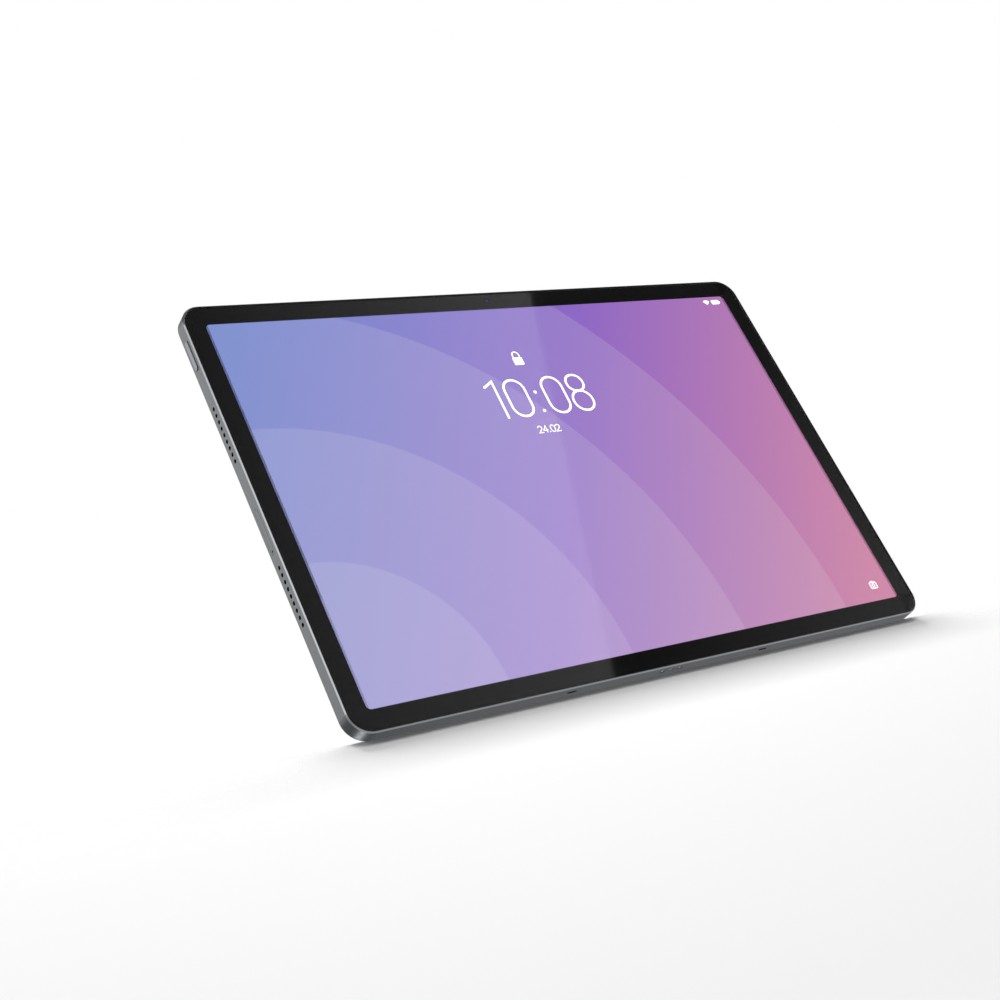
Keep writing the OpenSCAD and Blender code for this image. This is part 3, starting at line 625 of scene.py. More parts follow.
# Laminated polyimide: translucent amber with copper lines below
FLEX = Finish("polyimide_film_laminated", "#8a4d1c", "#c07a35", Pattern.BRUSHED_X, 1.0, roughness=0.3,
              relief_mm=0.01)
# Moulded epoxy: near-black, finely matt from its mould
CHIP = Finish("epoxy_moulded", "#121214", "#1d1d20", Pattern.GRAIN, 0.4, roughness=0.55, relief_mm=0.02)
# Drawn and heat-sealed foil pouch: soft silver with shallow crinkles
POUCH = Finish("aluminium_foil_laminated", "#a9acb0", "#c6c9cc", Pattern.CRINKLE, 9.0, metallic=1.0,
               roughness=0.4, relief_mm=0.12)
# Rolled graphite: charcoal sheet with a silky rolled streak
GRAPHITE = Finish("graphite_rolled", "#2a2b2d", "#3c3d40", Pattern.BRUSHED_Z, 1.2, metallic=0.5,
                  roughness=0.35, relief_mm=0.01)
# Cast silicone gap pad: dusty pink-grey with a soft grain
PAD = Finish("silicone_cast", "#9b8f96", "#b3a7ad", Pattern.GRAIN, 0.8, roughness=0.8, relief_mm=0.03)
# Moulded polycarbonate: black with a fine spark-eroded grain
BLACK_PLASTIC = Finish("polycarbonate_moulded", "#0e0e10", "#18181b", Pattern.GRAIN, 0.5, roughness=0.5,
                       relief_mm=0.02, ior=1.58)
# Woven polyester thread, drawn at four times its real pitch so that it shows: dark cloth
CLOTH = Finish("polyester_mesh_woven", "#060607", "#1b1b1e", Pattern.DOTS, 0.4, roughness=0.8,
               relief_mm=0.08)
# Barrel-plated contacts: pale silver, a little cloudy from wear
CONTACT = Finish("brass_palladium_plated", "#dcdcd8", "#f4f3ef", Pattern.CLOUD, 1.0, metallic=0.5,
                 roughness=0.3, relief_mm=0.002)
# Pressed nickel-plated magnets: bright silver with a faint bloom
MAGNET = Finish("neodymium_nickel_plated", "#b1b2b4", "#cbccce", Pattern.CLOUD, 3.0, metallic=1.0,
                roughness=0.25, relief_mm=0.003)
# Cold-headed and blackened steel: dark, slightly oily
SCREW = Finish("steel_blackened", "#3a3b3e", "#505256", Pattern.GRAIN, 0.4, metallic=1.0, roughness=0.35)
# Moulded card body: satin black resin
CARD = Finish("epoxy_card_moulded", "#141517", "#222326", Pattern.GRAIN, 0.5, roughness=0.5)
# Phosphor over the lamp's die: strong yellow, matt
PHOSPHOR = Finish("phosphor_silicone_cast", "#d9a821", "#f0c846", Pattern.GRAIN, 0.3, roughness=0.6,
                  relief_mm=0.02)
# Pressed and coated optical plastic: black depth with a cold gleam
LENS_PLASTIC = Finish("cyclic_olefin_coated", "#050608", "#0c0e16", Pattern.CLOUD, 2.0, roughness=0.05,
                      spread=0.02, relief_mm=0.0, ior=1.53, coat=1.0)
# Turned and blacked aluminium: dark steps that each catch a hair of light
HOOD_BLACK = Finish("aluminium_turned_blacked", "#0b0b0d", "#17171a", Pattern.GRAIN, 0.3, roughness=0.32,
                    relief_mm=0.004, ior=1.6)
# Ground glass element with a coat against glare: black-blue, with the coat's violet reflection painted into
# its colour
LENS_COAT = Finish("optical_glass_coated", "#1a1c38", "#463c78", Pattern.CLOUD, 1.4, roughness=0.04,
                   spread=0.02, relief_mm=0.0, ior=1.7, coat=1.0)
# Thin rings just behind the lens window and on the focus barrel: a fine pale line, a painted highlight that
# stands in for the shine of polished metal
PALE_RING_HIGHLIGHT = Finish("pale_ring_painted_highlight", "#9b9da2", "#b4b6bb", Pattern.CLOUD, 1.0, roughness=0.4,
                    relief_mm=0.001)
# Light of the screen's own marks: pure white dots
WHITE_LIGHT = Finish("display_white_dots", "#fafafc", "#ffffff", Pattern.DOTS, 0.5, roughness=0.4,
                     relief_mm=0.0, glow=1.0)


def place_mesh(name: str, shape: Shape, material: Material) -> bpy.types.Object:
    """Turn a shape into an object of the scene.

    Args:
        name: name of the object and its mesh.
        shape: its mesh; it is freed here.
        material: its material.

    Returns:
        The new object.
    """
    mesh = bpy.data.meshes.new(name)
    shape.to_mesh(mesh)
    shape.free()
    mesh.materials.append(material)
    item = bpy.data.objects.new(name, mesh)
    bpy.context.scene.collection.objects.link(item)
    return item


def round_face(node: str) -> tuple[Point, float]:
    """Return the X and Z of a round node's axis, and its radius."""
    low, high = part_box(node)
    return ((low.x + high.x) / 2, (low.z + high.z) / 2), (high.x - low.x) / 2


class Workbench:
    """Makes each material once, dresses nodes and turns meshes into riding pieces."""

    def __init__(self) -> None:
        """Start with no materials."""
        self.made: dict[object, Material] = {}

    def material(self, finish: Finish | ClearSheet | LitPicture) -> Material:
        """Return the material of a finish, made on its first use."""
        if finish not in self.made:
            self.made[finish] = finish.make()
        return self.made[finish]

    def dress(self, finishes: dict[str, Finish | ClearSheet | LitPicture]) -> None:
        """Give nodes of the frame their finishes.

        Args:
            finishes: the finish of each node, by the node's name.
        """
        for node, finish in finishes.items():
            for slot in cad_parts[node].material_slots:
                slot.material = self.material(finish)
            LOG.info("%s: %s", node, finish.name)

    def piece(self, name: str, shape: Shape, finish: Finish | ClearSheet,
              body: str = ROOT) -> None:
        """Turn a shape into a visible piece that rides on a body.

        Args:
            name: the piece's name.
            shape: its mesh; it is freed here.
            finish: its finish.
            body: body of the frame that carries it.
        """
        bmesh.ops.recalc_face_normals(shape, faces=shape.faces)
        item = place_mesh(name, shape, self.material(finish))
        item.data.set_sharp_from_angle(angle=math.radians(SHARP_ANGLE))
        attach(item, body)
        LOG.info("%s: %s, %d faces", name, finish.name, len(item.data.polygons))


BENCH = Workbench()


def arc(centre: Point, radii: Point, start: float, end: float, steps: int) -> list[Point]:
    """Return points along an oval arc.

    Args:
        centre: middle of the oval.
        radii: its half width and half height.
        start: first angle.
        end: last angle.
        steps: number of stretches between them.

    Returns:
        The arc's points, both ends included.
    """
    angles = [math.radians(start + (end - start) * i / steps) for i in range(steps + 1)]
    return [(centre[0] + radii[0] * math.cos(a), centre[1] + radii[1] * math.sin(a)) for a in angles]


def round_box(centre: Point, size: Point, radius: float, steps: int = 6) -> list[Point]:
    """Return the outline of a box with round corners.

    Args:
        centre: middle of the box.
        size: its width and height.
        radius: radius of its corners.
        steps: stretches in each corner.

    Returns:
        The closed outline, anticlockwise.
    """
    points = []
    for i, (sx, sy) in enumerate(((1, 1), (-1, 1), (-1, -1), (1, -1))):
        corner = (centre[0] + sx * (size[0] / 2 - radius), centre[1] + sy * (size[1] / 2 - radius))
        points += arc(corner, (radius, radius), 90 * i, 90 * i + 90, steps)
    return points


def slab(shape: Shape, outline: Sequence[Point], front: float, back: float) -> None:
    """Add a flat plate to a shape.

    Args:
        shape: mesh that takes the plate.
        outline: its closed outline in X and Z.
        front: depth of its front face.
        back: depth of its back face.
    """
    rings = [[shape.verts.new((x, y, z)) for x, z in outline] for y in (front, back)]
    shape.faces.new(rings[0])
    shape.faces.new(reversed(rings[1]))
    for i in range(len(outline)):
        shape.faces.new((rings[0][i - 1], rings[0][i], rings[1][i], rings[1][i - 1]))


def stroke(shape: Shape, path: Sequence[Point], width: float, front: float, back: float,
           closed: bool = False) -> None:
    """Add a flat line of even width to a shape, with round ends.

    Args:
        shape: mesh that takes the line.
        path: points along its middle.
        width: its width.
        front: depth of its front face.
        back: depth of its back face.
        closed: True if the last point leads to the first.
    """
    points = [Vector(p) for p in path]
    count = len(points)
    sides: tuple[list[Point], list[Point]] = ([], [])
    for i, point in enumerate(points):
        before = points[i - 1] if closed or i else point
        after = points[(i + 1) % count] if closed or i < count - 1 else point
        legs = [leg.normalized() for leg in (point - before, after - point) if leg.length]
        along = sum(legs, Vector((0, 0))).normalized()
        # A mitre keeps the width where the line turns a corner
        reach = width / 2 / max(along.dot(legs[0]), MITRE_LIMIT)
        across = Vector((-along.y, along.x)) * reach
        sides[0].append(tuple(point + across))
        sides[1].append(tuple(point - across))
    if closed:
        rims = [[[shape.verts.new((x, y, z)) for x, z in side] for side in sides] for y in (front, back)]
        for i in range(count):
            for a, b in ((rims[0][0], rims[0][1]), (rims[1][1], rims[1][0]),
                         (rims[1][0], rims[0][0]), (rims[0][1], rims[1][1])):
                shape.faces.new((a[i - 1], a[i], b[i], b[i - 1]))
        return
    outline = list(sides[0])
    for end, side in ((points[-1], sides[0][-1]), (points[0], sides[1][0])):
        start = math.degrees(math.atan2(side[1] - end.y, side[0] - end.x))
        outline += arc(tuple(end), (width / 2, width / 2), start, start - 180, 8)[1:-1]
        outline += list(reversed(sides[1])) if end is points[-1] else []
    slab(shape, outline, front, back)


def turned(shape: Shape, centre: Point, profile: Sequence[Point], steps: int = 96) -> None:
    """Add a solid of revolution about an axis along Y to a shape.

    Args:
        shape: mesh that takes the solid.
        centre: X and Z of the axis.
        profile: closed outline as radius and depth; a radius of 0 closes the solid on its axis.
        steps: number of stretches round the axis.
    """
    rings = []
    for radius, depth in profile:
        if radius == 0:
            rings.append([shape.verts.new((centre[0], depth, centre[1]))] * steps)
            continue
        ring = arc(centre, (radius, radius), 0, 360, steps)[:-1]
        rings.append([shape.verts.new((x, depth, z)) for x, z in ring])
    for low, high in zip(rings, rings[1:] + rings[:1]):
        for i in range(steps):
            corners = list(dict.fromkeys((low[i - 1], low[i], high[i], high[i - 1])))
            if len(corners) > 2:
                shape.faces.new(corners)


def dome(radius: float, rise: float, top: float, step: int) -> list[Point]:
    """Return a shallow dome as radius and depth, from its rim to its top on the axis.

    Args:
        radius: radius of its rim.
        rise: depth from its top to its rim; below 0 if the top faces the back.
        top: depth of its top.
        step: degrees between two points.

    Returns:
        The points, the one on the axis last.
    """
    turns = [math.radians(angle) for angle in range(90, -1, -step)]
    return [(radius * math.sin(turn), top + rise * (1 - math.cos(turn))) for turn in turns]


@dataclass
class Housing:
    """The anodised rear shell with its ribbed band.

    Attributes:
        side_inset: plain margin between the band and the shell's sides.
        top_inset: plain margin above the band.
        band_low: height of the band's lower edge.
        corner: radius of the shell's corners.
        skin: depth below the outline at which the inside walls start.
    """

    side_inset: float = 0.0027
    top_inset: float = 0.0022
    band_low: float = 0.1454
    corner: float = 0.009
    skin: float = 0.00018

    def dress(self) -> None:
        """Give the shell its metal, with the band worked out from the shell's own box."""
        low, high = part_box("rear_housing")
        shell = BandedMetal("aluminium_blasted_anodised", **SHELL, sense=-1.0, edge="#c4c6c9",
                            edge_roughness=0.24,
                            body=(high.x - self.skin, low.z + self.skin, high.z - self.skin),
                            body_round=self.corner - self.skin,
                            band_x=high.x - self.side_inset, band_low=self.band_low,
                            band_high=high.z - self.top_inset, back=high.y - FACE_DEPTH)
        BENCH.dress({"rear_housing": shell})


@dataclass
class Display:
    """Cover glass, screen picture and the layers behind them."""

    def dress(self) -> None:
        """Give each layer its finish, from the glass to the lamp bar."""
        low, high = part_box("display_panel")
        panel = LitPicture("filter_glass_laminated", middle=tuple((low + high) / 2),
                           front=low.y + FACE_DEPTH, sky=self.sky(), shapes=self.shapes())
        BENCH.dress({
            "cover_glass": FRONT_GLASS, "glass_border_print": BORDER_INK, "rim_adhesive": FOAM,
            "optical_adhesive": CLEAR_GLUE, "display_panel": panel, "backlight_films": WHITE_FILM,
            "light_guide_plate": GUIDE_ACRYLIC, "backlight_led_bar": LAMP_STRIP,
            "display_driver_board": BOARD, "display_flex": FLEX, "mid_frame": CAST_PLATE,
        })

    def sky(self) -> Stops:
        """Return the backdrop's colours, a plain even run from blue to rose."""
        return (0.0, "#5070c8"), (0.5, "#9068c8"), (1.0, "#d088a8")

    def shapes(self) -> tuple[Disc, ...]:
        """Return plain discs that share one centre, the screen's lower left corner."""
        corner = (-136.0, -85.0)
        return tuple(Disc(corner, radius, "#ffffff") for radius in (240.0, 180.0, 120.0, 60.0))


@dataclass
class ScreenMarks:
    """White marks on the screen: figures of a clock and a date, and plain signs.

    Attributes:
        clock: lower left corner of the clock and the size of one figure, in millimetres.
        clock_line: width of the clock's lines.
        date: the same corner and size for the date.
        date_line: width of the date's lines.
        skin: thickness of the marks.
    """

    clock: tuple[float, float, float, float] = (-25.9, 28.6, 10.4, 18.8)
    clock_line: float = 1.08
    date: tuple[float, float, float, float] = (-7.4, 19.6, 2.1, 3.3)
    date_line: float = 0.42
    skin: float = 0.00002

    def build(self) -> None:
        """Make the clock, the date and the signs on the front of the display panel."""
        low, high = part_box("display_panel")
        self.middle = (low + high) / 2
        self.back = low.y
        self.front = low.y - self.skin
        self.row("clock_figures", "10:08", self.clock, self.clock_line)
        self.row("date_figures", "24.02", self.date, self.date_line)
        self.signs()

    def spot(self, points: Iterable[Point]) -> list[Point]:
        """Turn millimetres from the screen's middle into X and Z in the frame."""
        return [(self.middle.x + x * MM, self.middle.z + y * MM) for x, y in points]

    def line(self, shape: Shape, path: Iterable[Point], width: float,
             closed: bool = False) -> None:
        """Draw one line of the marks, in millimetres from the screen's middle."""
        stroke(shape, self.spot(path), width * MM, self.front, self.back, closed)

    def plate(self, shape: Shape, outline: Iterable[Point]) -> None:
        """Draw one filled part of the marks, in millimetres from the screen's middle."""
        slab(shape, self.spot(outline), self.front, self.back)

    def figure(self, mark: str, left: float, low: float, wide: float, high: float,
               line: float) -> tuple[list[tuple[list[Point], bool]], list[list[Point]], float]:
        """Return how one figure is drawn.

        Args:
            mark: a numeral, a colon or a full stop.
            left: left edge of the figure.
            low: its lower edge.
            wide: width of a numeral.
            high: height of a numeral.
            line: width of its lines.

        Returns:
            Its lines, each with True if it is closed, its filled dots, and how far the next
            figure starts to the right.
        """
        def at(x: float, y: float) -> Point:
            """Return a place given as shares of the figure's width and height."""
            return (left + x * wide, low + y * high)

        def dot(y: float) -> list[Point]:
            """Return the outline of a round dot at a height."""
            return arc(at(0.2, y), (line * 0.75,) * 2, 0, 360, 16)[:-1]

        step = wide * 1.25
        match mark:
            case "0":
                return [(round_box(at(0.5, 0.5), (wide, high), wide * 0.5), True)], [], step
            case "8":
                under = round_box(at(0.5, 0.275), (wide, 0.55 * high), high * 0.27)
                upper = round_box(at(0.5, 0.775), (0.86 * wide, 0.45 * high), high * 0.22)
                return [(under, True), (upper, True)], [], step
            case "1":
                return [([at(0.22, 0.86), at(0.68, 1.0), at(0.68, 0.0)], False)], [], wide * 1.1
            case "2":
                bow = arc(at(0.5, 0.72), (wide / 2, 0.28 * high), 165, -35, 14)
                return [(bow + [at(0.02, 0.0), at(1.0, 0.0)], False)], [], step
            case "4":
                return [([at(0.76, 0.0), at(0.76, 1.0), at(0.0, 0.3), at(1.05, 0.3)], False)], [], step
            case ":":
                return [], [dot(0.1), dot(0.62)], wide * 0.65
            case _:
                return [], [dot(0.03)], wide * 0.65

    def row(self, name: str, text: str, place: tuple[float, float, float, float], line: float) -> None:
        """Make a row of figures as one piece.

        Args:
            name: the piece's name.
            text: the figures.
            place: lower left corner, and the width and height of one figure.
            line: width of the lines.
        """
        shape = bmesh.new()
        left, low, wide, high = place
        for mark in text:
            lines, dots, step = self.figure(mark, left, low, wide, high, line)
            for path, closed in lines:
                self.line(shape, path, line, closed)
            for outline in dots:
                self.plate(shape, outline)
            left += step
        BENCH.piece(name, shape, WHITE_LIGHT)

    def signs(self) -> None:
        """Make the padlock, signal, battery and camera signs as one piece."""
        shape = bmesh.new()
        self.plate(shape, round_box((0.2, 56.9), (5.0, 4.0), 0.5))
        self.line(shape, [(-1.5, 59.3)] + arc((0.2, 60.2), (1.7, 1.6), 180, 0, 12) + [(1.9, 59.3)], 0.6)
        self.plate(shape, [(124.8, 80.9)] + arc((124.8, 80.9), (2.8, 2.8), 45, 135, 10))
        self.plate(shape, round_box((130.4, 82.3), (4.8, 2.5), 0.5))
        self.plate(shape, round_box((133.15, 82.3), (0.4, 1.1), 0.1))
        self.line(shape, round_box((126.4, -77.9), (3.8, 2.9), 0.6), 0.5, closed=True)
        self.line(shape, arc((126.4, -77.9), (0.75, 0.75), 0, 360, 16)[:-1], 0.4, closed=True)
        self.plate(shape, round_box((126.4, -76.0), (1.7, 0.5), 0.2))
        BENCH.piece("sign_marks", shape, WHITE_LIGHT)


@dataclass
class Keys:
    """Power button and volume rocker with the switches behind them."""

    def dress(self) -> None:
        """Give the keys the shell's metal with bright cut edges, and the inner parts theirs."""
        key = dict(SHELL, shade="#8b8d92", second="#96989d", roughness=0.36)
        side_key = CutMetal("aluminium_key_anodised", **key, face=Axis.X, sense=-1.0, edge="#e4e5e8")
        top_key = CutMetal("aluminium_rocker_anodised", **key, face=Axis.Z, edge="#e4e5e8")
        BENCH.dress({"power_button": side_key, "volume_rocker": top_key, "power_switch": PRESSED_STEEL,
                     "volume_switches": PRESSED_STEEL, "rocker_pin": HOOP_STEEL,
                     "key_bracket": PRESSED_STEEL})


@dataclass
class CardSlot:
    """Card tray, its card, the reader and the parts that push the tray out."""

    def dress(self) -> None:
        """Give the tray the shell's metal and the rest of the slot its finishes."""
        tray = CutMetal("aluminium_tray_anodised", **SHELL, face=Axis.X, sense=-1.0, edge="#c4c6c9")
        BENCH.dress({"card_tray": tray, "memory_card": CARD, "card_reader": PRESSED_STEEL,
                     "eject_rod": PRESSED_STEEL, "eject_lever": PRESSED_STEEL})


@dataclass
class RearCamera:
    """Raised camera plate with its lens and lamp.

    Attributes:
        hood_top: how far the hood's face lies behind the lens window.
        hood_wall: width of the hood's face.
        hood_steps: number of black steps that lead down to the lens.
        trim: width of the bright trim ring in the hood's face.
        element: radius of the front lens element.
        crown: height of that element's dome.
        seat: width of the window's rim that the hood stays clear of.
        clearance: space between the hood's foot and the camera module.
        throat: how far the hood's narrow end lies inside the barrel's outline.
        ledge: width of the lip at each black step.
        descent: share of the hood's height that its steps take up.
        trim_depth: thickness of the trim ring, and how far the element sits below the barrel's end.
        edge: thickness of the element's edge and of the ring that keeps it.
        proud: how far that ring stands above the barrel's end.
    """

    hood_top: float = 0.00005
    hood_wall: float = 0.0007
    hood_steps: int = 3
    trim: float = 0.00022
    element: float = 0.00205
    crown: float = 0.00045
    seat: float = 0.00075
    clearance: float = 0.00005
    throat: float = 0.0003
    ledge: float = 0.00012
    descent: float = 0.9
    trim_depth: float = 0.00003
    edge: float = 0.0001
    proud: float = 0.00002

    def dress(self) -> None:
        """Give the plate, lens and lamp their finishes, and add the parts inside the lens."""
        centre, radius = round_face("flash_window")
        lamp = RingedFace("acrylic_diffuser_moulded", "#a9acb2", "#c4c7cc", Pattern.CLOUD, 3.0,
                          roughness=0.22, spread=0.04, coat=0.5, centre=centre, radius=radius,
                          colours=self.lamp_colours())
        BENCH.dress({"camera_plate": PLATE_METAL, "lens_ring": LENS_HOOP, "lens_cover_glass": LENS_GLASS,
                     "rear_camera_module": BLACK_PLASTIC, "focus_barrel": LENS_PLASTIC,
                     "flash_ring": HOOP_STEEL, "flash_window": lamp, "flash_led": PHOSPHOR})
        self.build_lens()

    def lamp_colours(self) -> Stops:
        """Return the lamp window's colours, from its milky rim to the yellow lamp behind its middle."""
        return ((0.0, "#c9cbcf"), (0.12, "#babcc1"), (0.66, "#b2b4b9"), (0.72, "#7d7e7b"), (0.82, "#8c8a78"),
                (0.86, "#e6d34a"), (0.93, "#fff6a8"), (1.0, "#fffde0"))

    def build_lens(self) -> None:
        """Make the hood with its trim ring, and the coated front element on the focus barrel."""
        centre, window = round_face("lens_cover_glass")
        outer = window - self.seat
        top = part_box("lens_cover_glass")[0].y - self.hood_top
        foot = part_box("rear_camera_module")[1].y + self.clearance
        inner = round_face("focus_barrel")[1] - self.throat
        mouth = outer - self.hood_wall
        drop = (top - foot) / self.hood_steps * self.descent
        wall = [(mouth, top)]
        for i in range(self.hood_steps):
            share = (i + 1) / self.hood_steps
            radius = mouth + (inner - mouth) * share
            depth = wall[-1][1] - drop
            wall += [(radius + self.ledge, depth), (radius, depth)]
        hood = bmesh.new()
        turned(hood, centre, [(outer, foot), (outer, top), *wall, (inner, foot)])
        BENCH.piece("lens_hood", hood, HOOD_BLACK)
        self.ring("lens_trim_ring", centre, mouth, (top, top + self.trim_depth), ROOT)
        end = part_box("focus_barrel")[1].y
        # A dome of few degrees, so that it mirrors one small light rather than the whole room
        face = dome(self.element, -self.crown, end - self.trim_depth, 9)
        rear = end - self.crown - self.edge
        front = bmesh.new()
        turned(front, centre, [(0.0, rear), (self.element, rear), *face])
        BENCH.piece("lens_front_element", front, LENS_COAT, "focus_barrel")
        high = end + self.proud
        self.ring("lens_keeper_ring", centre, self.element, (high - self.edge, high), "focus_barrel")

    def ring(self, name: str, centre: Point, inner: float, depths: Point, body: str) -> None:
        """Make one of the thin pale rings, whose colour is a painted highlight.

        Args:
            name: the piece's name.
            centre: X and Z of its axis.
            inner: its inner radius.
            depths: depths of its two faces.
            body: body of the frame that carries it.
        """
        near, far = depths
        outer = inner + self.trim
        shape = bmesh.new()
        turned(shape, centre, [(inner, near), (inner, far), (outer, far), (outer, near)])
        BENCH.piece(name, shape, PALE_RING_HIGHLIGHT, body)


@dataclass
class FrontCamera:
    """Small camera and light sensor in the upper border of the screen.

    Attributes:
        element: radius of the front lens element.
        crown: height of its dome.
        holder: width of the holder ring around it.
        gap: space between the element and the glass.
        inset: how far the element's foot lies behind the front of the module's lens.
        step: degrees between two points of the dome.
    """

    element: float = 0.0009
    crown: float = 0.00014
    holder: float = 0.0004
    gap: float = 0.00004
    inset: float = 0.00005
    step: int = 15

    def dress(self) -> None:
        """Give the module, its lens and the sensor their finishes, and add the front element."""
        centre, radius = round_face("front_camera_lens")
        lens = RingedFace("cyclic_olefin_lens_coated", "#101018", "#1a1a26", Pattern.CLOUD, 1.0,
                          roughness=0.12, spread=0.04, coat=1.0, ring_mm=0.4, ring_depth_mm=0.005,
                          centre=centre, radius=radius, colours=self.lens_colours())
        BENCH.dress({"front_camera_module": BLACK_PLASTIC, "front_camera_lens": lens,
                     "light_sensor": CHIP})
        self.build_element(lens, centre)

    def lens_colours(self) -> Stops:
        """Return the lens's colours, from its grey rim through black to a painted bluish highlight of its
        coat at the middle.
        """
        return ((0.0, "#4a4b52"), (0.18, "#34353b"), (0.26, "#0a0a0d"), (0.42, "#0a0a10"),
                (0.55, "#20244c"), (0.8, "#3a4488"), (0.92, "#8a96d8"), (1.0, "#aab4ea"))

    def build_element(self, lens: Finish, centre: Point) -> None:
        """Make the domed element and its holder ring, close behind the glass.

        Args:
            lens: finish of the element.
            centre: X and Z of its axis.
        """
        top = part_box("cover_glass")[1].y + self.gap
        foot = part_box("front_camera_lens")[0].y + self.inset
        face = dome(self.element, self.crown, top, self.step)
        front = bmesh.new()
        turned(front, centre, [(0.0, foot), (self.element, foot), *face], steps=48)
        BENCH.piece("front_lens_element", front, lens)
        ring = bmesh.new()
        rim = self.element + self.holder
        turned(ring, centre, [(self.element, foot), (rim, foot), (rim, top), (self.element, top)], steps=48)
        BENCH.piece("front_lens_holder", ring, HOOD_BLACK)


@dataclass
class Openings:
    """Ports, holes and contacts round the edge, with the parts behind them."""

    def dress(self) -> None:
        """Give the socket, cloths, microphones, contacts and aerials their finishes."""
        BENCH.dress({"usb_shell": HOOP_STEEL, "usb_tongue": BLACK_PLASTIC, "usb_board": BOARD,
                     "speaker_meshes": CLOTH, "microphones": CHIP, "dock_contacts": CONTACT,
                     "dock_contact_block": BLACK_PLASTIC, "antennas": FLEX, "side_flex": FLEX})
        for side in ("left", "right"):
            for level in ("lower", "upper"):
                BENCH.dress({f"speaker_{side}_{level}": BLACK_PLASTIC})


@dataclass
class Core:
    """Boards, battery and fasteners inside the shell."""

    def dress(self) -> None:
        """Give the inner parts their finishes."""
        BENCH.dress({"battery_cell_left": POUCH, "battery_cell_right": POUCH,
                     "battery_protection_board": BOARD, "main_board": BOARD, "processor": CHIP,
                     "memory_chips": CHIP, "power_controller": CHIP, "shield_can": PRESSED_STEEL,
                     "thermal_pad": PAD, "wireless_module": PRESSED_STEEL, "graphite_sheet": GRAPHITE,
                     "magnets": MAGNET, "screws": SCREW})


@dataclass
class Floor:
    """Pale floor that the lower edge stands on; the tablet leans back over it.

    Attributes:
        lean: angle between the tablet's back and the floor's upright.
        width: width of the floor.
        reach: how far it runs out in front of the tablet.
        fade: share of its size over which its edge fades away.
        stand: half of the width that the tablet stands on.
        start: depth of the fade along the floor's rear edge, beside the tablet.
        tuck: how far the floor runs under the tablet's rear edge.
        pale: colour of the floor.
        grid: number of stretches along each side of its mesh.
        spill: share of stand past which the rear edge has faded away.
        speck_mm: size of the paint's grain.
        relief_mm: height of that grain.
    """

    lean: float = 43.0
    width: float = 0.9
    reach: float = 0.34
    fade: float = 0.3
    stand: float = 0.138
    start: float = 0.05
    tuck: float = 0.001
    pale: str = "#f4f4f3"
    grid: int = 24
    spill: float = 1.3
    speck_mm: float = 10 / 9
    relief_mm: float = 0.01

    def build(self) -> None:
        """Make the floor as a fine grid, rounded off and faded towards its edge."""
        lean = math.radians(self.lean)
        ahead = Vector((0, -math.cos(lean), -math.sin(lean)))
        above = Vector((0, -math.sin(lean), math.cos(lean)))
        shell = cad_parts["rear_housing"]
        spots = [shell.matrix_world @ vert.co for vert in shell.data.vertices]
        foot = min(spots, key=lambda spot: spot.dot(above))
        start = Vector((0, foot.y, foot.z)) - ahead * self.tuck
        shape = bmesh.new()
        bmesh.ops.create_grid(shape, x_segments=self.grid, y_segments=self.grid, size=0.5)
        for vert in shape.verts:
            across = Vector((vert.co.x * self.width, 0, 0))
            vert.co = start + across + ahead * self.reach * (vert.co.y + 0.5)
        floor = place_mesh("studio_floor", shape, self.finish(start, ahead))
        # The metal mirrors the room below it rather than the floor's own lit face
        floor.visible_glossy = False
        floor.visible_shadow = False
        LOG.info("studio_floor: %.2f by %.2f m", self.width, self.reach)

    def finish(self, start: Vector, ahead: Vector) -> Material:
        """Build painted board that fades out towards its edge.

        Args:
            start: middle of the floor's rear edge.
            ahead: direction in which the floor runs.

        Returns:
            The floor's material.
        """
        material, tree = blank("painted_board_sprayed")
        place = add(tree, "TexCoord").outputs["Object"]
        off = add(tree, "VectorMath", {0: place, 1: start}, operation="SUBTRACT").outputs[0]
        along = add(tree, "VectorMath", {0: off, 1: ahead}, operation="DOT_PRODUCT").outputs["Value"]
        across = add(tree, "SeparateXYZ", {"Vector": off}).outputs["X"]
        far = add(tree, "Math", {0: along, 1: self.reach}, operation="DIVIDE").outputs[0]
        wide = add(tree, "Math", {0: across, 1: self.width / 2}, operation="DIVIDE").outputs[0]
        flat = add(tree, "CombineXYZ", {"X": far, "Y": wide}).outputs["Vector"]
        size = add(tree, "VectorMath", {0: flat}, operation="LENGTH").outputs["Value"]
        inward = add(tree, "MapRange", {"Value": size, "From Min": 1 - self.fade, "From Max": 1.0,
                                        "To Min": 1.0, "To Max": 0.0},
                     interpolation_type="SMOOTHSTEP").outputs["Result"]
        # Beside the tablet the rear edge fades too, so that no line shows where the floor starts
        aside = add(tree, "Math", {0: across}, operation="ABSOLUTE").outputs[0]
        beside = add(tree, "MapRange", {"Value": aside, "From Min": self.stand,
                                        "From Max": self.stand * self.spill},
                     interpolation_type="SMOOTHSTEP").outputs["Result"]
        rear = add(tree, "MapRange", {"Value": along, "From Max": self.start, "To Min": 1.0, "To Max": 0.0},
                   interpolation_type="SMOOTHSTEP").outputs["Result"]
        lost = add(tree, "Math", {0: beside, 1: rear}, operation="MULTIPLY").outputs[0]
        kept = add(tree, "Math", {0: 1.0, 1: lost}, operation="SUBTRACT").outputs[0]
        shown = add(tree, "Math", {0: inward, 1: kept}, operation="MULTIPLY").outputs[0]
        speck = add(tree, "TexNoise", {"Vector": place, "Scale": 1 / (self.speck_mm * MM)}).outputs["Fac"]
        bump = add(tree, "Bump", {"Height": speck, "Distance": self.relief_mm * MM}).outputs["Normal"]
        matt = add(tree, "BsdfPrincipled", {"Base Color": linear(self.pale), "Roughness": 0.9,
                                            "Normal": bump})
        clear = add(tree, "BsdfTransparent")
        both = add(tree, "MixShader", {0: shown, 1: clear.outputs[0], 2: matt.outputs[0]})
        add(tree, "OutputMaterial", {"Surface": both.outputs[0]})
        return material


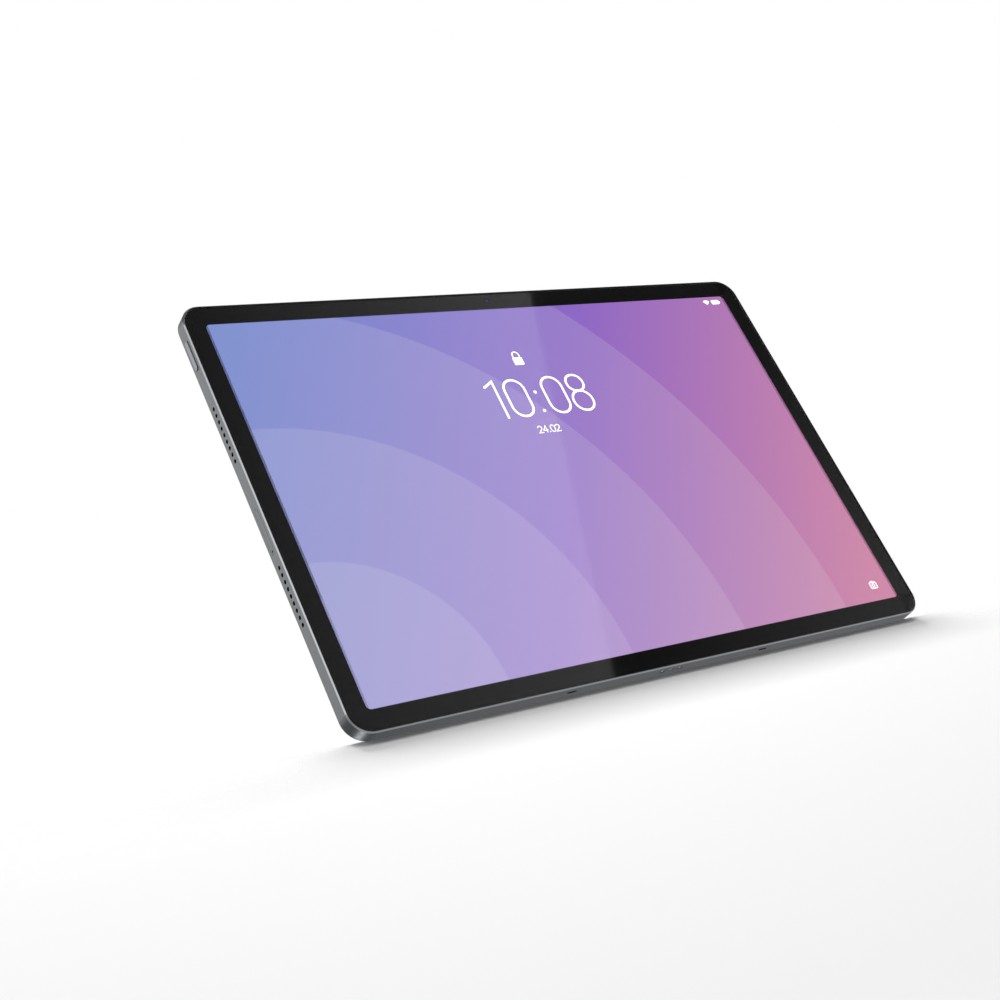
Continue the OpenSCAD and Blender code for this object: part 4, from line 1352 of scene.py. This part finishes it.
@dataclass(frozen=True)
class Softbox:
    """A rectangular studio light.

    Attributes:
        name: what it does.
        centre: its middle.
        aim: point that it faces.
        size: width and height.
        radiance: brightness of its face, where 1 shows as white.
        roll: turn about the direction that it faces.
        fade: share of its brightness that is left at the dim end of its width; 1 is even.
        mirrored: False for a light that only lights matt surfaces.
    """

    name: str
    centre: Triple
    aim: Triple
    size: Point
    radiance: float
    roll: float = 0.0
    fade: float = 1.0
    mirrored: bool = True

    def build(self) -> None:
        """Make the light, out of the camera's sight."""
        lamp = bpy.data.lights.new(self.name, "AREA")
        lamp.shape = "RECTANGLE"
        lamp.size, lamp.size_y = self.size
        lamp.energy = self.radiance * math.pi * self.size[0] * self.size[1]
        if self.fade < 1:
            lamp.use_nodes = True
            tree = lamp.node_tree
            across = add(tree, "NewGeometry").outputs["Parametric"]
            place = add(tree, "SeparateXYZ", {"Vector": across}).outputs["X"]
            power = add(tree, "MapRange", {"Value": place, "To Min": self.fade, "To Max": 1.0})
            glow = add(tree, "Emission", {"Strength": power.outputs["Result"]})
            tree.links.new(glow.outputs[0], tree.nodes["Light Output"].inputs[0])
        item = bpy.data.objects.new(self.name, lamp)
        facing = Vector(self.aim) - Vector(self.centre)
        turn = facing.to_track_quat("-Z", "Y").to_matrix() @ Matrix.Rotation(math.radians(self.roll), 3, "Z")
        item.matrix_world = Matrix.Translation(self.centre) @ turn.to_4x4()
        item.visible_camera = False
        item.visible_glossy = self.mirrored
        bpy.context.scene.collection.objects.link(item)


@dataclass
class Studio:
    """White surroundings, dimmer light that they shed, and the softboxes.

    Attributes:
        white: brightness of the plain backdrop.
        shed: colours of the light that the room sheds, from below to above.
    """

    white: float = 1.0
    shed: Stops = ((0.0, "#868688"), (0.2, "#929294"), (0.4, "#c0c0c2"), (0.62, "#8c8c8f"),
                   (0.79, "#b8b8ba"), (0.85, "#565658"), (1.0, "#505052"))

    def build(self) -> None:
        """Make the world and the softboxes."""
        self.room()
        for softbox in self.softboxes():
            softbox.build()
            LOG.info("%s: radiance %.2f", softbox.name, softbox.radiance)

    def room(self) -> None:
        """Make the plain white backdrop and the soft light of the room."""
        world = bpy.data.worlds.new("studio_room")
        bpy.context.scene.world = world
        world.use_nodes = True
        tree = world.node_tree
        tree.nodes.clear()
        way = add(tree, "TexCoord").outputs["Generated"]
        lean = math.radians(Floor.lean)
        up = (0.0, -math.sin(lean), math.cos(lean))
        rise = add(tree, "VectorMath", {0: way, 1: up}, operation="DOT_PRODUCT").outputs["Value"]
        share = add(tree, "MapRange", {"Value": rise, "From Min": -1.0}).outputs["Result"]
        shed = add(tree, "ValToRGB", {"Fac": share}, stops=self.shed).outputs["Color"]
        room = add(tree, "Background", {"Color": shed, "Strength": 1.0})
        backdrop = add(tree, "Background", {"Color": linear("#ffffff"), "Strength": self.white})
        seen = add(tree, "LightPath").outputs["Is Camera Ray"]
        both = add(tree, "MixShader", {0: seen, 1: room.outputs[0], 2: backdrop.outputs[0]})
        add(tree, "OutputWorld", {"Surface": both.outputs[0]})

    def softboxes(self) -> list[Softbox]:
        """Return the seven lights, from the main one overhead to the dim card that draws the gleam."""
        middle = (0.0, 0.0, 0.095)
        return [
            Softbox("overhead_softbox", (-0.15, -0.95, 1.05), middle, (0.9, 0.9), 3.0),
            # It grazes the tablet's plane from the top, so the tablet shades the floor along its lower edge
            Softbox("floor_softbox", (0.0, 0.05, 1.4), (0.0, 0.0, 0.0), (0.9, 0.12), 49.0,
                    mirrored=False),
            Softbox("left_front_card", (-1.13, -0.585, 0.7), middle, (0.7, 0.7), 0.8),
            Softbox("left_rear_softbox", (-0.65, 1.0, 0.72), middle, (0.9, 0.9), 0.85),
            Softbox("low_rear_strip", (-0.27, 1.06, -0.74), (-0.14, 0, 0), (0.3, 0.3), 6.0),
            Softbox("right_rear_softbox", (0.9, 0.9, -0.2), middle, (0.8, 0.8), 0.2),
            # Its straight edge is mirrored as the slanting gleam across the glass
            Softbox("gleam_card", (0.765, -1.2, 0.892), (0.765, 0.0, 0.892), (0.64, 1.06), 0.62, -16.4,
                    fade=0.05),
        ]


@dataclass
class Viewpoint:
    """The camera: low in front of the left side, rolled so that the tablet leans.

    Attributes:
        aim: point on the screen that the lens points at.
        azimuth: direction of the view from +Y towards +X.
        elevation: how far the view rises.
        roll: turn of the camera about its view.
        distance: distance from the aim.
        lens: focal length in millimetres on a 36 mm sensor.
    """

    aim: Triple = (-0.04307, -0.00345, 0.08448)
    azimuth: float = 39.074
    elevation: float = 23.813
    roll: float = -25.957
    distance: float = 0.66164
    lens: float = 60.04

    def build(self) -> None:
        """Make the camera and set it as the scene's own."""
        turn, rise = math.radians(self.azimuth), math.radians(self.elevation)
        ahead = Vector((math.sin(turn) * math.cos(rise), math.cos(turn) * math.cos(rise), math.sin(rise)))
        right = ahead.cross(Vector((0, 0, 1))).normalized()
        right.rotate(Matrix.Rotation(math.radians(-self.roll), 3, ahead))
        above = right.cross(ahead)
        pose = Matrix((right, above, -ahead)).transposed().to_4x4()
        lens = bpy.data.cameras.new("studio_camera")
        lens.lens = self.lens
        lens.sensor_width = 36.0
        camera = bpy.data.objects.new("studio_camera", lens)
        camera.matrix_world = Matrix.Translation(Vector(self.aim) - ahead * self.distance) @ pose
        bpy.context.scene.collection.objects.link(camera)
        bpy.context.scene.camera = camera


def main() -> None:
    """Build the camera, the tablet's looks, the floor and the lights, in that order."""
    logging.basicConfig(level=logging.INFO, format="%(name)s %(message)s")
    bpy.context.scene.view_settings.view_transform = "Standard"
    Viewpoint().build()
    for assembly in (Housing(), Display(), Keys(), CardSlot(), RearCamera(), FrontCamera(), Openings(),
                     Core()):
        assembly.dress()
    ScreenMarks().build()
    Floor().build()
    Studio().build()


if __name__ == "__main__":
    main()
